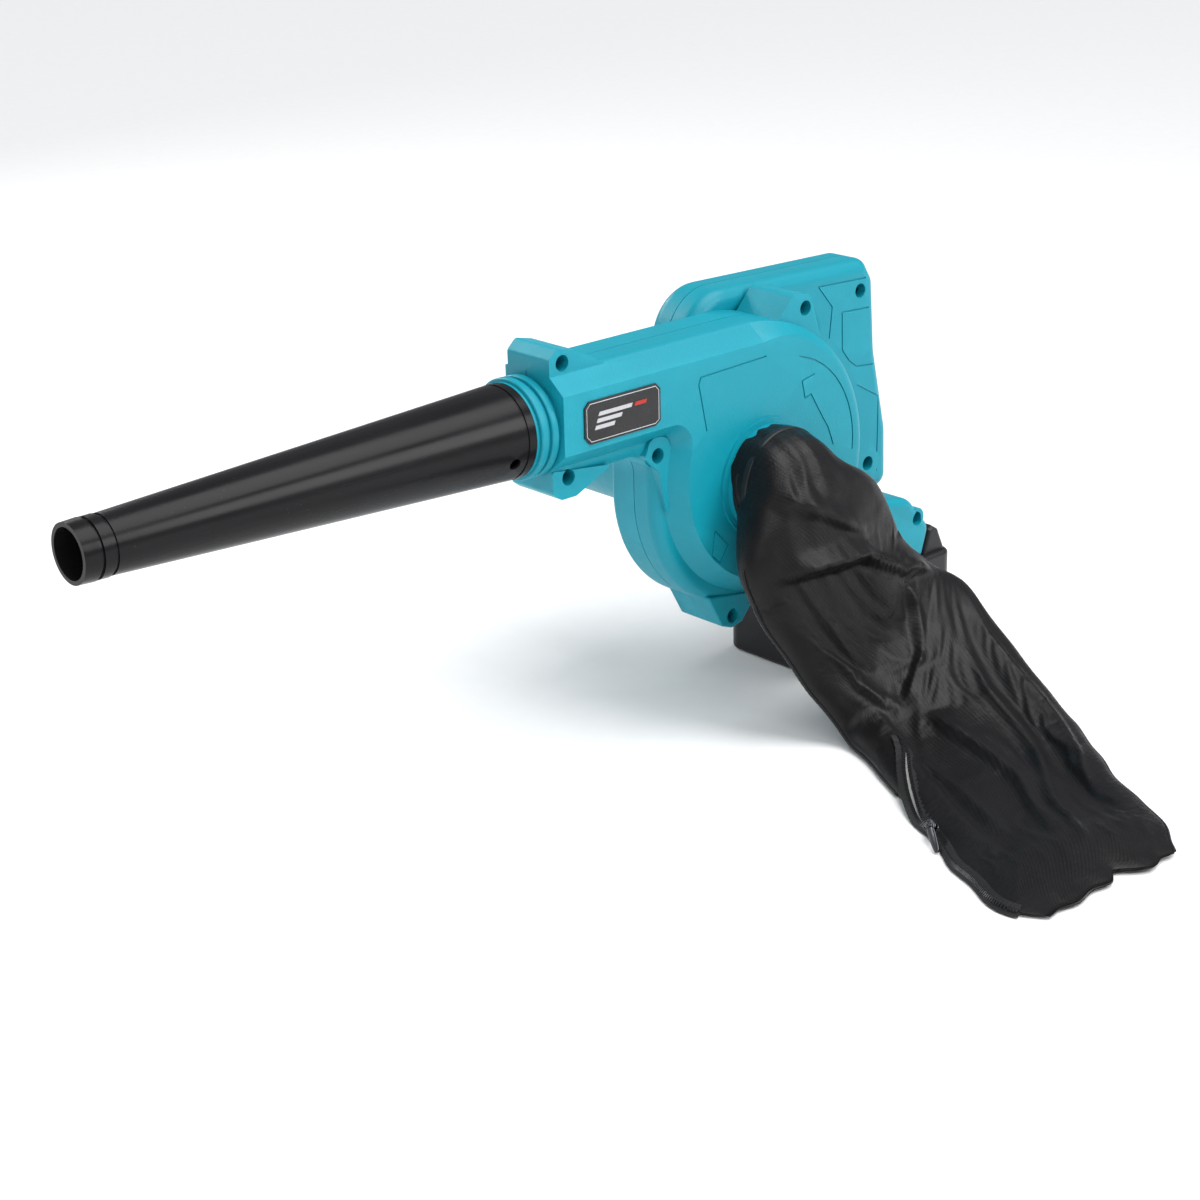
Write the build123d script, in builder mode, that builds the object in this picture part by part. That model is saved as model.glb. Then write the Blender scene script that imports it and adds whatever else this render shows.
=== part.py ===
from build123d import *
import os
from math import atan2, cos, degrees, hypot, radians, sin

os.makedirs("parts", exist_ok=True)

# Cordless hand-held leaf blower with a dust bag on its intake.
# Frame: origin at the middle of the battery's underside, +X to the rear, +Z up, and the
# intake on the -Y side. Side profiles are drawn from the fan axis, x to the rear and y up,
# and depths are counted from the air plane: negative towards the intake, positive
# towards the motor.

# ---- Driving dimensions, mm ----
fan_x = -109.0             # fan and motor axis, which lies along Y
fan_z = 137.0
air_y = -14.0              # air plane: nozzle axis, and joint of fan cover and centre housing
wall = 2.6                 # moulded wall of the housings

scroll_center = (3.0, -2.0)    # centre of the scroll's first arc
scroll_r = 74.0            # radius of that arc, at the front
scroll_step = 4.0          # growth of the radius at each quarter turn
duct_end = -142.5          # front end of the housings, at the outlet collar
duct_top = 84.0
duct_bottom = 27.0
arch_center = (-86.0, 12.0)    # hollow of the arch between duct and scroll
arch_r = 15.0
cover_depth = 28.0         # air plane to the cover's front face
shoulder_depth = 17.0      # air plane to the lower step of the cover
back_depth = 18.0          # air plane to the back of the scroll
plateau_center = (11.0, 8.0)   # raised disc of the cover
plateau_r = 68.0

nozzle_z = 55.5            # nozzle axis above the fan axis
collar_r = 26.5            # ribs of the outlet collar
spigot_r = 21.55           # nozzle spigot in the collar
nozzle_base = -157.5       # front face of the collar, where the nozzle's cone starts
nozzle_tip = -405.0
nozzle_r_base = 24.6
nozzle_r_tip = 13.4
nozzle_wall = 1.8

intake_bore_r = 25.5       # intake in the fan cover
intake_rim = 33.0          # air plane to the rim of the intake

handle_near = 16.0         # depths of the handle body
handle_split = 32.0        # joint of centre housing and motor housing
handle_far = 48.0
base_near = -22.0          # depths of the wider battery base
base_far = 50.0
base_bottom = -86.0        # underside of the base, from the fan axis
motor_tube_r = 36.5        # motor housing
motor_tube_end = 104.0

motor_r = 22.0             # motor can
motor_front = 20.2
motor_back = 80.0
shaft_r = 2.5

battery_length = 118.0
battery_width = 75.0
battery_front = -battery_length / 2 - fan_x      # 50, from the fan axis
battery_rear = battery_length / 2 - fan_x        # 168
battery_mid = -air_y                             # depth of the battery's middle
rail_half = 28.0           # half width of the battery's rail flange
rail_neck = 23.0           # half width of its neck
rail_top = -72.0           # top of the battery's rail block
slip = 0.4                 # clearance round the battery's rails


# ---- Planes and small helpers ----
def side(depth):
    """Side-profile plane at a depth, facing the intake side."""
    return Plane(origin=(fan_x, air_y + depth, fan_z), x_dir=(1, 0, 0), z_dir=(0, -1, 0))


def across(x):
    """Cross-section plane square to X: local x is the depth and local y the height."""
    return Plane(origin=(fan_x + x, air_y, fan_z), x_dir=(0, 1, 0), z_dir=(1, 0, 0))


def level(z):
    """Horizontal plane at a height from the fan axis: local x to the rear, local y the depth."""
    return Plane(origin=(fan_x, air_y, fan_z + z), x_dir=(1, 0, 0), z_dir=(0, 0, 1))


def slab(profile, near, far):
    """Prism of a side profile between two depths."""
    with BuildPart() as prism:
        with BuildSketch(side(far)):
            add(profile)
        extrude(amount=far - near)
    return prism.part


def rounded_slab(profile, near, far, radius, end):
    """Prism with its near (end 0) or far (end -1) rim rounded."""
    with BuildPart() as prism:
        with BuildSketch(side(far)):
            add(profile)
        extrude(amount=far - near)
        fillet(prism.faces().sort_by(Axis.Y)[end].edges(), radius=radius)
    return prism.part


def disc(radius, near, far, center=(0, 0), bore=0.0):
    """Round plate or tube along Y."""
    with BuildPart() as plate:
        with BuildSketch(side(far)):
            with Locations(center):
                Circle(radius)
                if bore:
                    Circle(bore, mode=Mode.SUBTRACT)
        extrude(amount=far - near)
    return plate.part


def disc_face(radius):
    """Round side profile on the fan axis."""
    with BuildSketch() as face:
        Circle(radius)
    return face.sketch


def box_between(x_range, depth_range, z_range):
    """Box from its limits, in fan-axis dimensions."""
    with BuildPart() as block:
        with BuildSketch(level(z_range[0])):
            with Locations(((x_range[0] + x_range[1]) / 2, (depth_range[0] + depth_range[1]) / 2)):
                Rectangle(x_range[1] - x_range[0], depth_range[1] - depth_range[0])
        extrude(amount=z_range[1] - z_range[0])
    return block.part


def rounded_polygon(points, radii):
    """Face of a polygon with its own corner radius at each point."""
    with BuildSketch() as outline:
        with BuildLine():
            FilletPolyline(*points, radius=radii, close=True)
        make_face()
    return outline.sketch


def trace(points, width=0.9):
    """Thin line of a groove through points, in side view."""
    with BuildSketch() as line:
        for (x1, z1), (x2, z2) in zip(points, points[1:]):
            with Locations(((x1 + x2) / 2, (z1 + z2) / 2)):
                run = hypot(x2 - x1, z2 - z1)
                SlotCenterToCenter(run, width, rotation=degrees(atan2(z2 - z1, x2 - x1)))
    return line.sketch


def arc_points(center, radius, first, last, steps):
    """Points of an arc between two angles, for a groove."""
    angles = [radians(first + (last - first) * k / steps) for k in range(steps + 1)]
    return [(center[0] + radius * cos(a), center[1] + radius * sin(a)) for a in angles]


def edge_ring(outline, inner):
    """Narrow ring between an outline and its inset, for the shadow gap of a joint."""
    with BuildSketch() as ring:
        add(outline)
        add(inner, mode=Mode.SUBTRACT)
    return ring.sketch


# ---- Profiles ----
def scroll_outline(inset=0.0):
    """Scroll and outlet duct: three quarter arcs of growing radius, then the duct."""
    cx, cz = scroll_center
    r1 = scroll_r
    r2 = scroll_r + scroll_step
    r3 = scroll_r + 2 * scroll_step
    left = cx - r1
    top = cz + scroll_step + r3
    with BuildSketch() as outline:
        with BuildLine():
            CenterArc((cx, cz), r1, 180, 90)
            CenterArc((cx, cz + scroll_step), r2, 270, 90)
            CenterArc((cx - scroll_step, cz + scroll_step), r3, 0, 90)
            Line((cx - scroll_step, top), (duct_end, top))
            Line((duct_end, top), (duct_end, duct_bottom))
            Line((duct_end, duct_bottom), (arch_center[0], duct_bottom))
            CenterArc(arch_center, arch_r, 0, 90)
            Line((left, arch_center[1]), (left, cz))
        make_face()
        if inset:
            offset(amount=-inset)
    return outline.sketch


def plateau_outline(inset=0.0):
    """Raised front of the cover: a disc round the intake and a band along the duct."""
    with BuildSketch() as outline:
        with Locations(plateau_center):
            Circle(plateau_r)
        with Locations(((duct_end - 20) / 2, 59.5)):
            Rectangle(-duct_end + 20, 31)
        fillet(outline.vertices().sort_by(Axis.Y)[:3].sort_by(Axis.X)[-1], radius=14)
        if inset:
            offset(amount=-inset, kind=Kind.INTERSECTION)
    return outline.sketch


cover_screws_at = [(-134, 89), (-132, 29), (-71, 26.5), (42, 84), (-15, -79.5), (95, -17)]
handle_screws_at = [(124.5, 73), (135.5, -60)]
block_outlines = [
    ([(-142.5, 78), (-142.5, 92), (-137, 97), (-126, 94.5), (-104, 83)], [1, 3, 3, 3, 1]),
    ([(-142.5, 34), (-142.5, 22), (-137, 18), (-127, 18), (-102, 29)], [1, 3, 3, 3, 1]),
    ([(18, 78), (33, 93.5), (46, 91), (56, 60)], [1, 4, 4, 1]),
    ([(-34, -64), (-23, -84), (-15, -87), (-7, -85), (6, -70)], [1, 3, 3, 3, 1]),
    ([(70, 8), (97, -4), (105, -15), (101, -27), (68, -40)], [1, 4, 4, 4, 1]),
]


def screw_blocks():
    """Screw blocks round the scroll, as one sketch."""
    with BuildSketch() as blocks:
        for points, radii in block_outlines:
            add(rounded_polygon(points, radii))
    return blocks.sketch


def cover_form(inset=0.0):
    """Outer form of the fan cover, or with an inset the air space in it."""
    rim = 7.0 - 0.6 * inset
    with BuildPart() as low:
        with BuildSketch(side(0)):
            add(scroll_outline(inset))
        extrude(amount=shoulder_depth - inset)
        low_rim = low.faces().sort_by(Axis.Y)[0].edges()
        fillet(low_rim.filter_by(lambda e: e.center().X > fan_x - 135), radius=rim)
    with BuildPart() as high:
        with BuildSketch(side(0)):
            add(scroll_outline(inset))
        extrude(amount=cover_depth - inset)
        high_rim = high.faces().sort_by(Axis.Y)[0].edges()
        fillet(high_rim.filter_by(lambda e: e.center().X > fan_x - 135), radius=rim)
    with BuildPart() as ramp:
        with BuildSketch(side(-shoulder_depth + inset)):
            add(plateau_outline(inset - 9.0))
        with BuildSketch(side(-cover_depth + inset)):
            add(plateau_outline(inset))
        loft(ruled=True)
    with BuildPart() as form:
        add(high.part)
        add(ramp.part, mode=Mode.INTERSECT)
        add(low.part)
    return form.part


def frame_outline(inset=0.0):
    """Handle and rear body in side view."""
    points = [(-15, 10), (-15, 94.5), (130, 91), (138, 78), (141, 35), (152, -15), (153, -52), (26, -52)]
    radii = [9, 30, 9, 9, 30, 30, 9, 9]
    with BuildSketch() as outline:
        add(rounded_polygon(points, radii))
        if inset:
            offset(amount=-inset)
    return outline.sketch


def grip_opening(grow=0.0):
    """Finger opening under the grip."""
    points = [(2, 44), (2, 77), (58, 75), (78, 69), (85, 57), (80, 44)]
    with BuildSketch() as outline:
        add(rounded_polygon(points, [7, 14, 20, 10, 8, 6]))
        if grow:
            offset(amount=grow)
    return outline.sketch


def base_outline(inset=0.0):
    """Battery base in side view."""
    points = [(34, -86), (29, -58), (104, -41), (129, -46), (148, -67), (142, -86)]
    with BuildSketch() as outline:
        add(rounded_polygon(points, [3, 9, 20, 16, 8, 3]))
        if inset:
            offset(amount=-inset)
    return outline.sketch


def screw(x, z, head, length):
    """Cross-head screw along Y whose head seats at a depth."""
    with BuildPart() as piece:
        add(disc(3.8, head - 2.4, head, (x, z)))
        add(disc(1.9, head, head + length, (x, z)))
        with BuildSketch(side(head - 2.4)):
            with Locations((x, z)):
                Rectangle(4.2, 0.9)
                Rectangle(0.9, 4.2)
        extrude(amount=-1.3, mode=Mode.SUBTRACT)
    return piece.part


# ---- Grooves and shadow gaps ----
groove_deep = 0.6
gap_wide = 0.6
gap_deep = 0.5
cover_grooves = [
    [(-43.8, 36.1), (-49.3, 61.8), (-47.8, 65.7), (0.7, 67.2)],
    arc_points((13, 6), 57.5, -6, 76, 12),
    [(54.4, 6.1), (50, 17), (45.1, 24.3), (36.1, 38.8), (31.4, 37.5), (28.9, 47.7), (38.4, 49.6)],
    [(-38.2, -21.4), (-28.5, -31.9), (-34.6, -40.6), (-40.6, -35), (-38.2, -21.4)],
]
body_grooves = [
    [(98.5, 49.9), (100.7, 67.7), (88.8, 81.6), (128.5, 79.9)],
    [(131.6, 61.9), (109.2, 63.2), (109.7, 40.6), (115.8, 32.8), (122, 28.5), (136, 27)],
    [(123.1, 16.8), (141.9, 6.1), (141.4, -39.8)],
]


# ---- Fan cover: near half of scroll and duct, with the intake ----
cover_block_depth = 18.0
with BuildPart() as fan_cover:
    add(cover_form())
    add(rounded_slab(screw_blocks(), -cover_block_depth, 0, 1.2, 0))
    # teardrop pad of the screw at the tongue
    pad = rounded_polygon([(-80, 27), (-76, 37), (-64, 36), (-59, 22), (-64.5, -10), (-70.6, 18)], [2, 6, 7, 9, 1, 6])
    add(slab(pad, -cover_block_depth - 1.2, -6))
    add(cover_form(wall), mode=Mode.SUBTRACT)
    # screw pillar in the tongue, between scroll and duct
    add(disc(7.0, -shoulder_depth + 1, 0, cover_screws_at[2]))
    # outer step and rim of the intake
    add(disc(33.5, -cover_depth - 1.6, -cover_depth + wall))
    add(disc(30.0, -intake_rim, -cover_depth))
    add(disc(intake_bore_r, -intake_rim - 1, -10), mode=Mode.SUBTRACT)
    for x, z in cover_screws_at:
        add(disc(2.15, -cover_depth, 0, (x, z)), mode=Mode.SUBTRACT)
        add(disc(4.2, -cover_depth - 5, -7, (x, z)), mode=Mode.SUBTRACT)
    # decorative grooves and the shadow gap at the joint
    for groove in cover_grooves:
        add(slab(trace(groove), -cover_depth - 1, -cover_depth + groove_deep), mode=Mode.SUBTRACT)
    add(slab(edge_ring(scroll_outline(), scroll_outline(gap_wide)), -gap_deep, 0), mode=Mode.SUBTRACT)
    # collar seat
    with BuildSketch(across(duct_end - 1)):
        with Locations((0, nozzle_z)):
            Circle(24.0)
    extrude(amount=8, mode=Mode.SUBTRACT)
    with BuildSketch(across(duct_end + wall)):
        with Locations((0, nozzle_z)):
            Circle(25.0)
    extrude(amount=3.5, mode=Mode.SUBTRACT)
fan_cover.part.label = "fan_cover"
export_step(fan_cover.part, "parts/fan_cover.step")


# ---- Handle, rear body and battery base: shared by both housings ----
handle_rim = 7.5           # rounding of the handle and of its finger opening
trigger_x = (12.0, 44.0)
trigger_half = 8.5
trigger_z = 66.0
lock_at = (60.0, 84.0)
lock_r = 4.5


def frame_half(near, far, end):
    """Half of the handle and rear body before it is hollowed, with rounded rims."""
    with BuildPart() as half:
        with BuildSketch(side(far)):
            add(frame_outline())
            add(grip_opening(), mode=Mode.SUBTRACT)
        extrude(amount=far - near)
        fillet(half.faces().sort_by(Axis.Y)[end].edges(), radius=handle_rim)
    return half.part


def frame_space(near, far, end):
    """Hollow of the handle and rear body between two depths."""
    with BuildPart() as space:
        with BuildSketch(side(far)):
            add(frame_outline(wall))
            add(grip_opening(wall), mode=Mode.SUBTRACT)
        extrude(amount=far - near)
        fillet(space.faces().sort_by(Axis.Y)[end].edges(), radius=handle_rim - wall)
    return space.part


def base_half(near, far, end):
    """Half of the battery base before it is hollowed, cut round the scroll."""
    with BuildPart() as half:
        with BuildSketch(side(far)):
            add(base_outline())
        extrude(amount=far - near)
        rim = half.faces().sort_by(Axis.Y)[end].edges()
        fillet(rim.filter_by(lambda e: e.center().Z > fan_z - 80), radius=5)
        add(slab(scroll_outline(-0.15), near - 1, 0), mode=Mode.SUBTRACT)
    return half.part


def base_space(near, far):
    """Hollow of the battery base, open underneath and clear of the scroll."""
    with BuildPart() as space:
        add(slab(base_outline(wall), near, far))
        add(box_between((38, 138), (near, far), (base_bottom - 1, base_bottom + 6)))
        rail_gap = rail_half + slip
        depths = (max(near, battery_mid - rail_gap), min(far, battery_mid + rail_gap))
        add(box_between((130, 150), depths, (base_bottom - 1, rail_top + slip)))
        add(slab(scroll_outline(-wall), near - 1, back_depth), mode=Mode.SUBTRACT)
    return space.part


def trigger_slot():
    """Slot of the trigger in the grip's underside."""
    depths = (handle_split - trigger_half - 0.4, handle_split + trigger_half + 0.4)
    return box_between((trigger_x[0] - 0.4, trigger_x[1] + 0.4), depths, (72, 80.5))


def duct_back(inset=0.0):
    """Far side of the outlet duct, round at the collar and flatter at the scroll."""
    with BuildPart() as form:
        for x in (duct_end + inset, -118):
            with BuildSketch(across(x)):
                with Locations((0, nozzle_z)):
                    Circle(27.5 - inset)
                with Locations((-20, nozzle_z)):
                    Rectangle(40, 80, mode=Mode.SUBTRACT)
        loft()
        with BuildSketch(across(-118)):
            with Locations((0, nozzle_z)):
                Circle(27.5 - inset)
            with Locations((-20, nozzle_z)):
                Rectangle(40, 80, mode=Mode.SUBTRACT)
        with BuildSketch(across(-70)):
            with Locations((0, nozzle_z)):
                Ellipse(back_depth - 1 - inset, 26 - inset)
            with Locations((-20, nozzle_z)):
                Rectangle(40, 80, mode=Mode.SUBTRACT)
        loft()
    return form.part


# ---- Centre housing: scroll back, near half of handle, rear body and base ----
block_back = 14.0
motor_hole_r = 20.0
motor_screw_r = 26.0       # pitch radius of the motor plate's screws
with BuildPart() as center_housing:
    add(rounded_slab(scroll_outline(), 0, back_depth, 3.0, -1))
    add(duct_back())
    add(slab(screw_blocks(), 0, block_back))
    add(frame_half(handle_near, handle_split, 0))
    add(base_half(base_near, handle_split, 0))
    add(frame_space(handle_near + wall, handle_split, 0), mode=Mode.SUBTRACT)
    add(base_space(base_near + wall, handle_split), mode=Mode.SUBTRACT)
    add(disc(motor_tube_r, back_depth - wall, handle_split))
    for x, z in handle_screws_at:
        near_end = handle_near if z > 0 else base_near
        add(disc(6.5, near_end + 1, handle_split, (x, z)))
    add(disc(motor_tube_r - wall, back_depth, handle_split), mode=Mode.SUBTRACT)
    add(slab(scroll_outline(wall), 0, back_depth - wall), mode=Mode.SUBTRACT)
    add(duct_back(wall), mode=Mode.SUBTRACT)
    add(disc(7.0, 0, back_depth - wall, cover_screws_at[2]))
    add(disc(motor_hole_r, back_depth - wall - 1, back_depth), mode=Mode.SUBTRACT)
    add(trigger_slot(), mode=Mode.SUBTRACT)
    for groove in body_grooves:
        add(slab(trace(groove), handle_near - 1, handle_near + groove_deep), mode=Mode.SUBTRACT)
    for x, z in cover_screws_at:
        add(disc(1.9, 0, 12, (x, z)), mode=Mode.SUBTRACT)
    for x, z in handle_screws_at:
        near_end = handle_near if z > 0 else base_near
        add(disc(4.2, near_end - 1, 24, (x, z)), mode=Mode.SUBTRACT)
        add(disc(2.15, 24, handle_split, (x, z)), mode=Mode.SUBTRACT)
    for k in range(4):
        angle = radians(45 + 90 * k)
        at = (motor_screw_r * cos(angle), motor_screw_r * sin(angle))
        add(disc(1.5, back_depth - wall, back_depth, at), mode=Mode.SUBTRACT)
    with BuildSketch(across(duct_end - 1)):
        with Locations((0, nozzle_z)):
            Circle(24.0)
    extrude(amount=8, mode=Mode.SUBTRACT)
center_housing.part.label = "center_housing"
export_step(center_housing.part, "parts/center_housing.step")

# ---- Motor housing: far half of handle, rear body and base, with the motor tube ----
with BuildPart() as motor_housing:
    add(frame_half(handle_split, handle_far, -1))
    add(base_half(handle_split, base_far, -1))
    add(frame_space(handle_split, handle_far - wall, -1), mode=Mode.SUBTRACT)
    add(base_space(handle_split, base_far - wall), mode=Mode.SUBTRACT)
    add(rounded_slab(disc_face(motor_tube_r), handle_split, motor_tube_end, 1.0, -1))
    for x, z in handle_screws_at:
        add(disc(6.5, handle_split, 46, (x, z)))
        add(disc(1.9, handle_split, 44, (x, z)), mode=Mode.SUBTRACT)
    add(disc(motor_tube_r - wall, handle_split, motor_tube_end), mode=Mode.SUBTRACT)
    add(trigger_slot(), mode=Mode.SUBTRACT)
    add(disc(lock_r + 0.06, handle_far - wall - 1, handle_far + 1, lock_at), mode=Mode.SUBTRACT)
    add(disc(lock_r + 1.4, handle_far - wall - 7, handle_far - wall, lock_at), mode=Mode.SUBTRACT)
    # shadow gap at the joint
    add(slab(edge_ring(frame_outline(), frame_outline(gap_wide)), handle_split, handle_split + gap_deep),
        mode=Mode.SUBTRACT)
    # cooling slots round the motor tube
    for k in range(10):
        angle = -25 + 16 * k
        slot_plane = Plane(origin=(fan_x, air_y + 92, fan_z), x_dir=(0, 1, 0),
                           z_dir=(cos(radians(angle)), 0, sin(radians(angle))))
        with BuildSketch(slot_plane):
            SlotOverall(14, 3.2)
        extrude(amount=motor_tube_r + 2, mode=Mode.SUBTRACT)
motor_housing.part.label = "motor_housing"
export_step(motor_housing.part, "parts/motor_housing.step")

# ---- Motor end cap: round grille that closes the motor tube ----
with BuildPart() as motor_end_cap:
    add(rounded_slab(disc_face(motor_tube_r), motor_tube_end, motor_tube_end + 3.0, 2.0, -1))
    add(disc(motor_tube_r - wall - 0.05, motor_tube_end - 4, motor_tube_end, bore=motor_tube_r - wall - 2.0))
    with BuildSketch(side(motor_tube_end - 1)):
        with PolarLocations(22, 12):
            SlotOverall(13, 3.4)
    extrude(amount=-6, mode=Mode.SUBTRACT)
motor_end_cap.part.label = "motor_end_cap"
export_step(motor_end_cap.part, "parts/motor_end_cap.step")

# ---- Outlet collar: ribbed ring that holds the nozzle ----
seat_r = 23.95
groove_r = 24.6
with BuildPart() as outlet_collar:
    rings = [
        (duct_end + wall + 0.1, duct_end + wall + 3.0, 24.8),
        (duct_end, duct_end + wall + 0.1, seat_r),
        (duct_end - 1.7, duct_end, groove_r),
        (duct_end - 6.1, duct_end - 1.7, collar_r),
        (duct_end - 8.5, duct_end - 6.1, groove_r),
        (duct_end - 12.9, duct_end - 8.5, collar_r),
        (nozzle_base + 0.3, duct_end - 12.9, groove_r),
    ]
    for x_low, x_high, r in rings:
        with BuildSketch(across(x_low)):
            with Locations((0, nozzle_z)):
                Circle(r)
        extrude(amount=x_high - x_low)
    ribs = outlet_collar.edges().filter_by(GeomType.CIRCLE).filter_by(lambda e: abs(e.radius - collar_r) < 0.01)
    fillet(ribs, radius=1.0)
    with BuildSketch(across(nozzle_base - 1)):
        with Locations((0, nozzle_z)):
            Circle(spigot_r + 0.05)
    extrude(amount=30, mode=Mode.SUBTRACT)
outlet_collar.part.label = "outlet_collar"
export_step(outlet_collar.part, "parts/outlet_collar.step")

# ---- Nozzle: long tapered tube that pulls off the collar ----
detent_at = -170.0         # round hole near the base, on the near side and a little low
detent_r = 3.2
with BuildPart() as nozzle:
    with BuildSketch(Plane(origin=(fan_x, air_y, fan_z + nozzle_z), x_dir=(1, 0, 0), z_dir=(0, -1, 0))):
        with BuildLine():
            Polyline(
                (nozzle_base + 18, 0), (nozzle_base + 18, spigot_r), (nozzle_base, spigot_r),
                (nozzle_base, nozzle_r_base), (nozzle_base - 4.5, nozzle_r_base),
                (nozzle_base - 4.5, nozzle_r_base - 0.5), (nozzle_base - 6.0, nozzle_r_base - 0.5),
                (nozzle_base - 6.0, nozzle_r_base - 0.1), (nozzle_tip + 17, nozzle_r_tip + 1.0),
                (nozzle_tip + 17, nozzle_r_tip + 0.3), (nozzle_tip + 15, nozzle_r_tip + 0.3),
                (nozzle_tip + 15, nozzle_r_tip + 1.3), (nozzle_tip + 10, nozzle_r_tip + 1.2),
                (nozzle_tip + 10, nozzle_r_tip + 0.2), (nozzle_tip + 8, nozzle_r_tip + 0.2),
                (nozzle_tip + 8, nozzle_r_tip + 1.4), (nozzle_tip, nozzle_r_tip + 1.0),
                (nozzle_tip, 0),
            )
            Line((nozzle_tip, 0), (nozzle_base + 18, 0))
        make_face()
    revolve(axis=Axis((fan_x, air_y, fan_z + nozzle_z), (1, 0, 0)))
    with BuildSketch(Plane(origin=(fan_x, air_y, fan_z + nozzle_z), x_dir=(1, 0, 0), z_dir=(0, -1, 0))):
        bore_tip = nozzle_r_tip - 1.2
        bore_base = nozzle_r_base - nozzle_wall
        with BuildLine():
            Polyline(
                (nozzle_base + 19, 0), (nozzle_base + 19, spigot_r - nozzle_wall),
                (nozzle_base, spigot_r - nozzle_wall), (nozzle_base - 6, bore_base),
                (nozzle_tip + 14, bore_tip), (nozzle_tip - 1, bore_tip), (nozzle_tip - 1, 0),
                (nozzle_base + 19, 0),
            )
        make_face()
    revolve(axis=Axis((fan_x, air_y, fan_z + nozzle_z), (1, 0, 0)), mode=Mode.SUBTRACT)
    detent_plane = Plane(origin=(fan_x + detent_at, air_y, fan_z + nozzle_z), x_dir=(1, 0, 0),
                         z_dir=(0, -cos(radians(24)), -sin(radians(24))))
    with BuildSketch(detent_plane):
        Circle(detent_r)
    extrude(amount=30, mode=Mode.SUBTRACT)
nozzle.part.label = "nozzle"
export_step(nozzle.part, "parts/nozzle.step")

# ---- Label plate on the duct, with cut corners and nothing printed on it ----
with BuildPart() as label_plate:
    with BuildSketch(side(-cover_depth)):
        with BuildLine():
            Polyline((-129.5, 51), (-126, 47.2), (-81, 47.2), (-77.5, 49.5), (-77.5, 66.5), (-80.5, 69.5),
                     (-126.5, 69.5), (-129.5, 66.5), close=True)
        make_face()
    extrude(amount=0.8)
label_plate.part.label = "label_plate"
export_step(label_plate.part, "parts/label_plate.step")

# ---- Screws of the housings ----
with BuildPart() as cover_screws:
    for x, z in cover_screws_at:
        add(screw(x, z, -7, 18))
cover_screws.part.label = "cover_screws"
export_step(cover_screws.part, "parts/cover_screws.step")

with BuildPart() as handle_screws:
    for x, z in handle_screws_at:
        add(screw(x, z, 24, 18))
handle_screws.part.label = "handle_screws"
export_step(handle_screws.part, "parts/handle_screws.step")

# ---- Motor: plate, can, magnets, bearings, end bell and brushes ----
bearing_r = 6.5
with BuildPart() as motor_plate:
    add(disc(31, back_depth, motor_front, bore=bearing_r + 0.5))
    for k in range(4):
        angle = radians(45 + 90 * k)
        at = (motor_screw_r * cos(angle), motor_screw_r * sin(angle))
        add(disc(1.5, back_depth, motor_front, at), mode=Mode.SUBTRACT)
motor_plate.part.label = "motor_plate"
export_step(motor_plate.part, "parts/motor_plate.step")

with BuildPart() as motor_screws:
    for k in range(4):
        angle = radians(45 + 90 * k)
        at = (motor_screw_r * cos(angle), motor_screw_r * sin(angle))
        add(disc(1.5, back_depth - wall, motor_front, at))
        add(disc(2.8, motor_front, motor_front + 2, at))
motor_screws.part.label = "motor_screws"
export_step(motor_screws.part, "parts/motor_screws.step")

with BuildPart() as motor_can:
    add(disc(motor_r, motor_front, motor_back - 4, bore=motor_r - 1.6))
    add(disc(motor_r, motor_front, motor_front + 1.6, bore=bearing_r))
motor_can.part.label = "motor_can"
export_step(motor_can.part, "parts/motor_can.step")

with BuildPart() as motor_magnets:
    add(disc(motor_r - 1.6, 30, 66, bore=17))
    add(box_between((-8, 8), (29, 67), (-30, 30)), mode=Mode.SUBTRACT)
motor_magnets.part.label = "motor_magnets"
export_step(motor_magnets.part, "parts/motor_magnets.step")

with BuildPart() as motor_bearings:
    add(disc(bearing_r, motor_front, motor_front + 4.5, bore=shaft_r + 0.03))
    add(disc(5.0, motor_back - 3.5, motor_back, bore=shaft_r + 0.03))
motor_bearings.part.label = "motor_bearings"
export_step(motor_bearings.part, "parts/motor_bearings.step")

with BuildPart() as motor_end_bell:
    add(disc(motor_r, motor_back - 4, motor_back + 1.5, bore=5.0))
    add(disc(motor_r - 1.7, motor_back - 8, motor_back - 4, bore=15.0))
    add(disc(5.0, motor_back, motor_back + 1.5))
    add(disc(3.2, motor_back - 1, motor_back + 2), mode=Mode.SUBTRACT)
motor_end_bell.part.label = "motor_end_bell"
export_step(motor_end_bell.part, "parts/motor_end_bell.step")

commutator_r = 6.0
with BuildPart() as brushes:
    for sign in (-1, 1):
        ends = sorted((sign * (commutator_r + 0.06), sign * 14.6))
        add(box_between(ends, (motor_back - 8, motor_back - 5), (-2.5, 2.5)))
    add(disc(commutator_r + 0.06, motor_back - 9, motor_back - 3), mode=Mode.SUBTRACT)
brushes.part.label = "brushes"
export_step(brushes.part, "parts/brushes.step")

# ---- Rotor: shaft, armature, windings, commutator, impeller and its nut ----
shaft_front = -22.0
with BuildPart() as rotor_shaft:
    add(disc(shaft_r, shaft_front, motor_back + 0.5))
rotor_shaft.part.label = "rotor_shaft"
export_step(rotor_shaft.part, "parts/rotor_shaft.step")

with BuildPart() as armature:
    add(disc(16.0, 34, 62, bore=shaft_r))
    with BuildSketch(side(62)):
        with PolarLocations(13, 5):
            Rectangle(8, 2.4)
    extrude(amount=28, mode=Mode.SUBTRACT)
armature.part.label = "armature"
export_step(armature.part, "parts/armature.step")

with BuildPart() as windings:
    add(disc(13.5, 27.5, 34, bore=5))
    add(disc(13.5, 62, 68, bore=5))
    fillet(windings.edges().filter_by(GeomType.CIRCLE).filter_by(lambda e: e.radius > 13), radius=2)
windings.part.label = "windings"
export_step(windings.part, "parts/windings.step")

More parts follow.
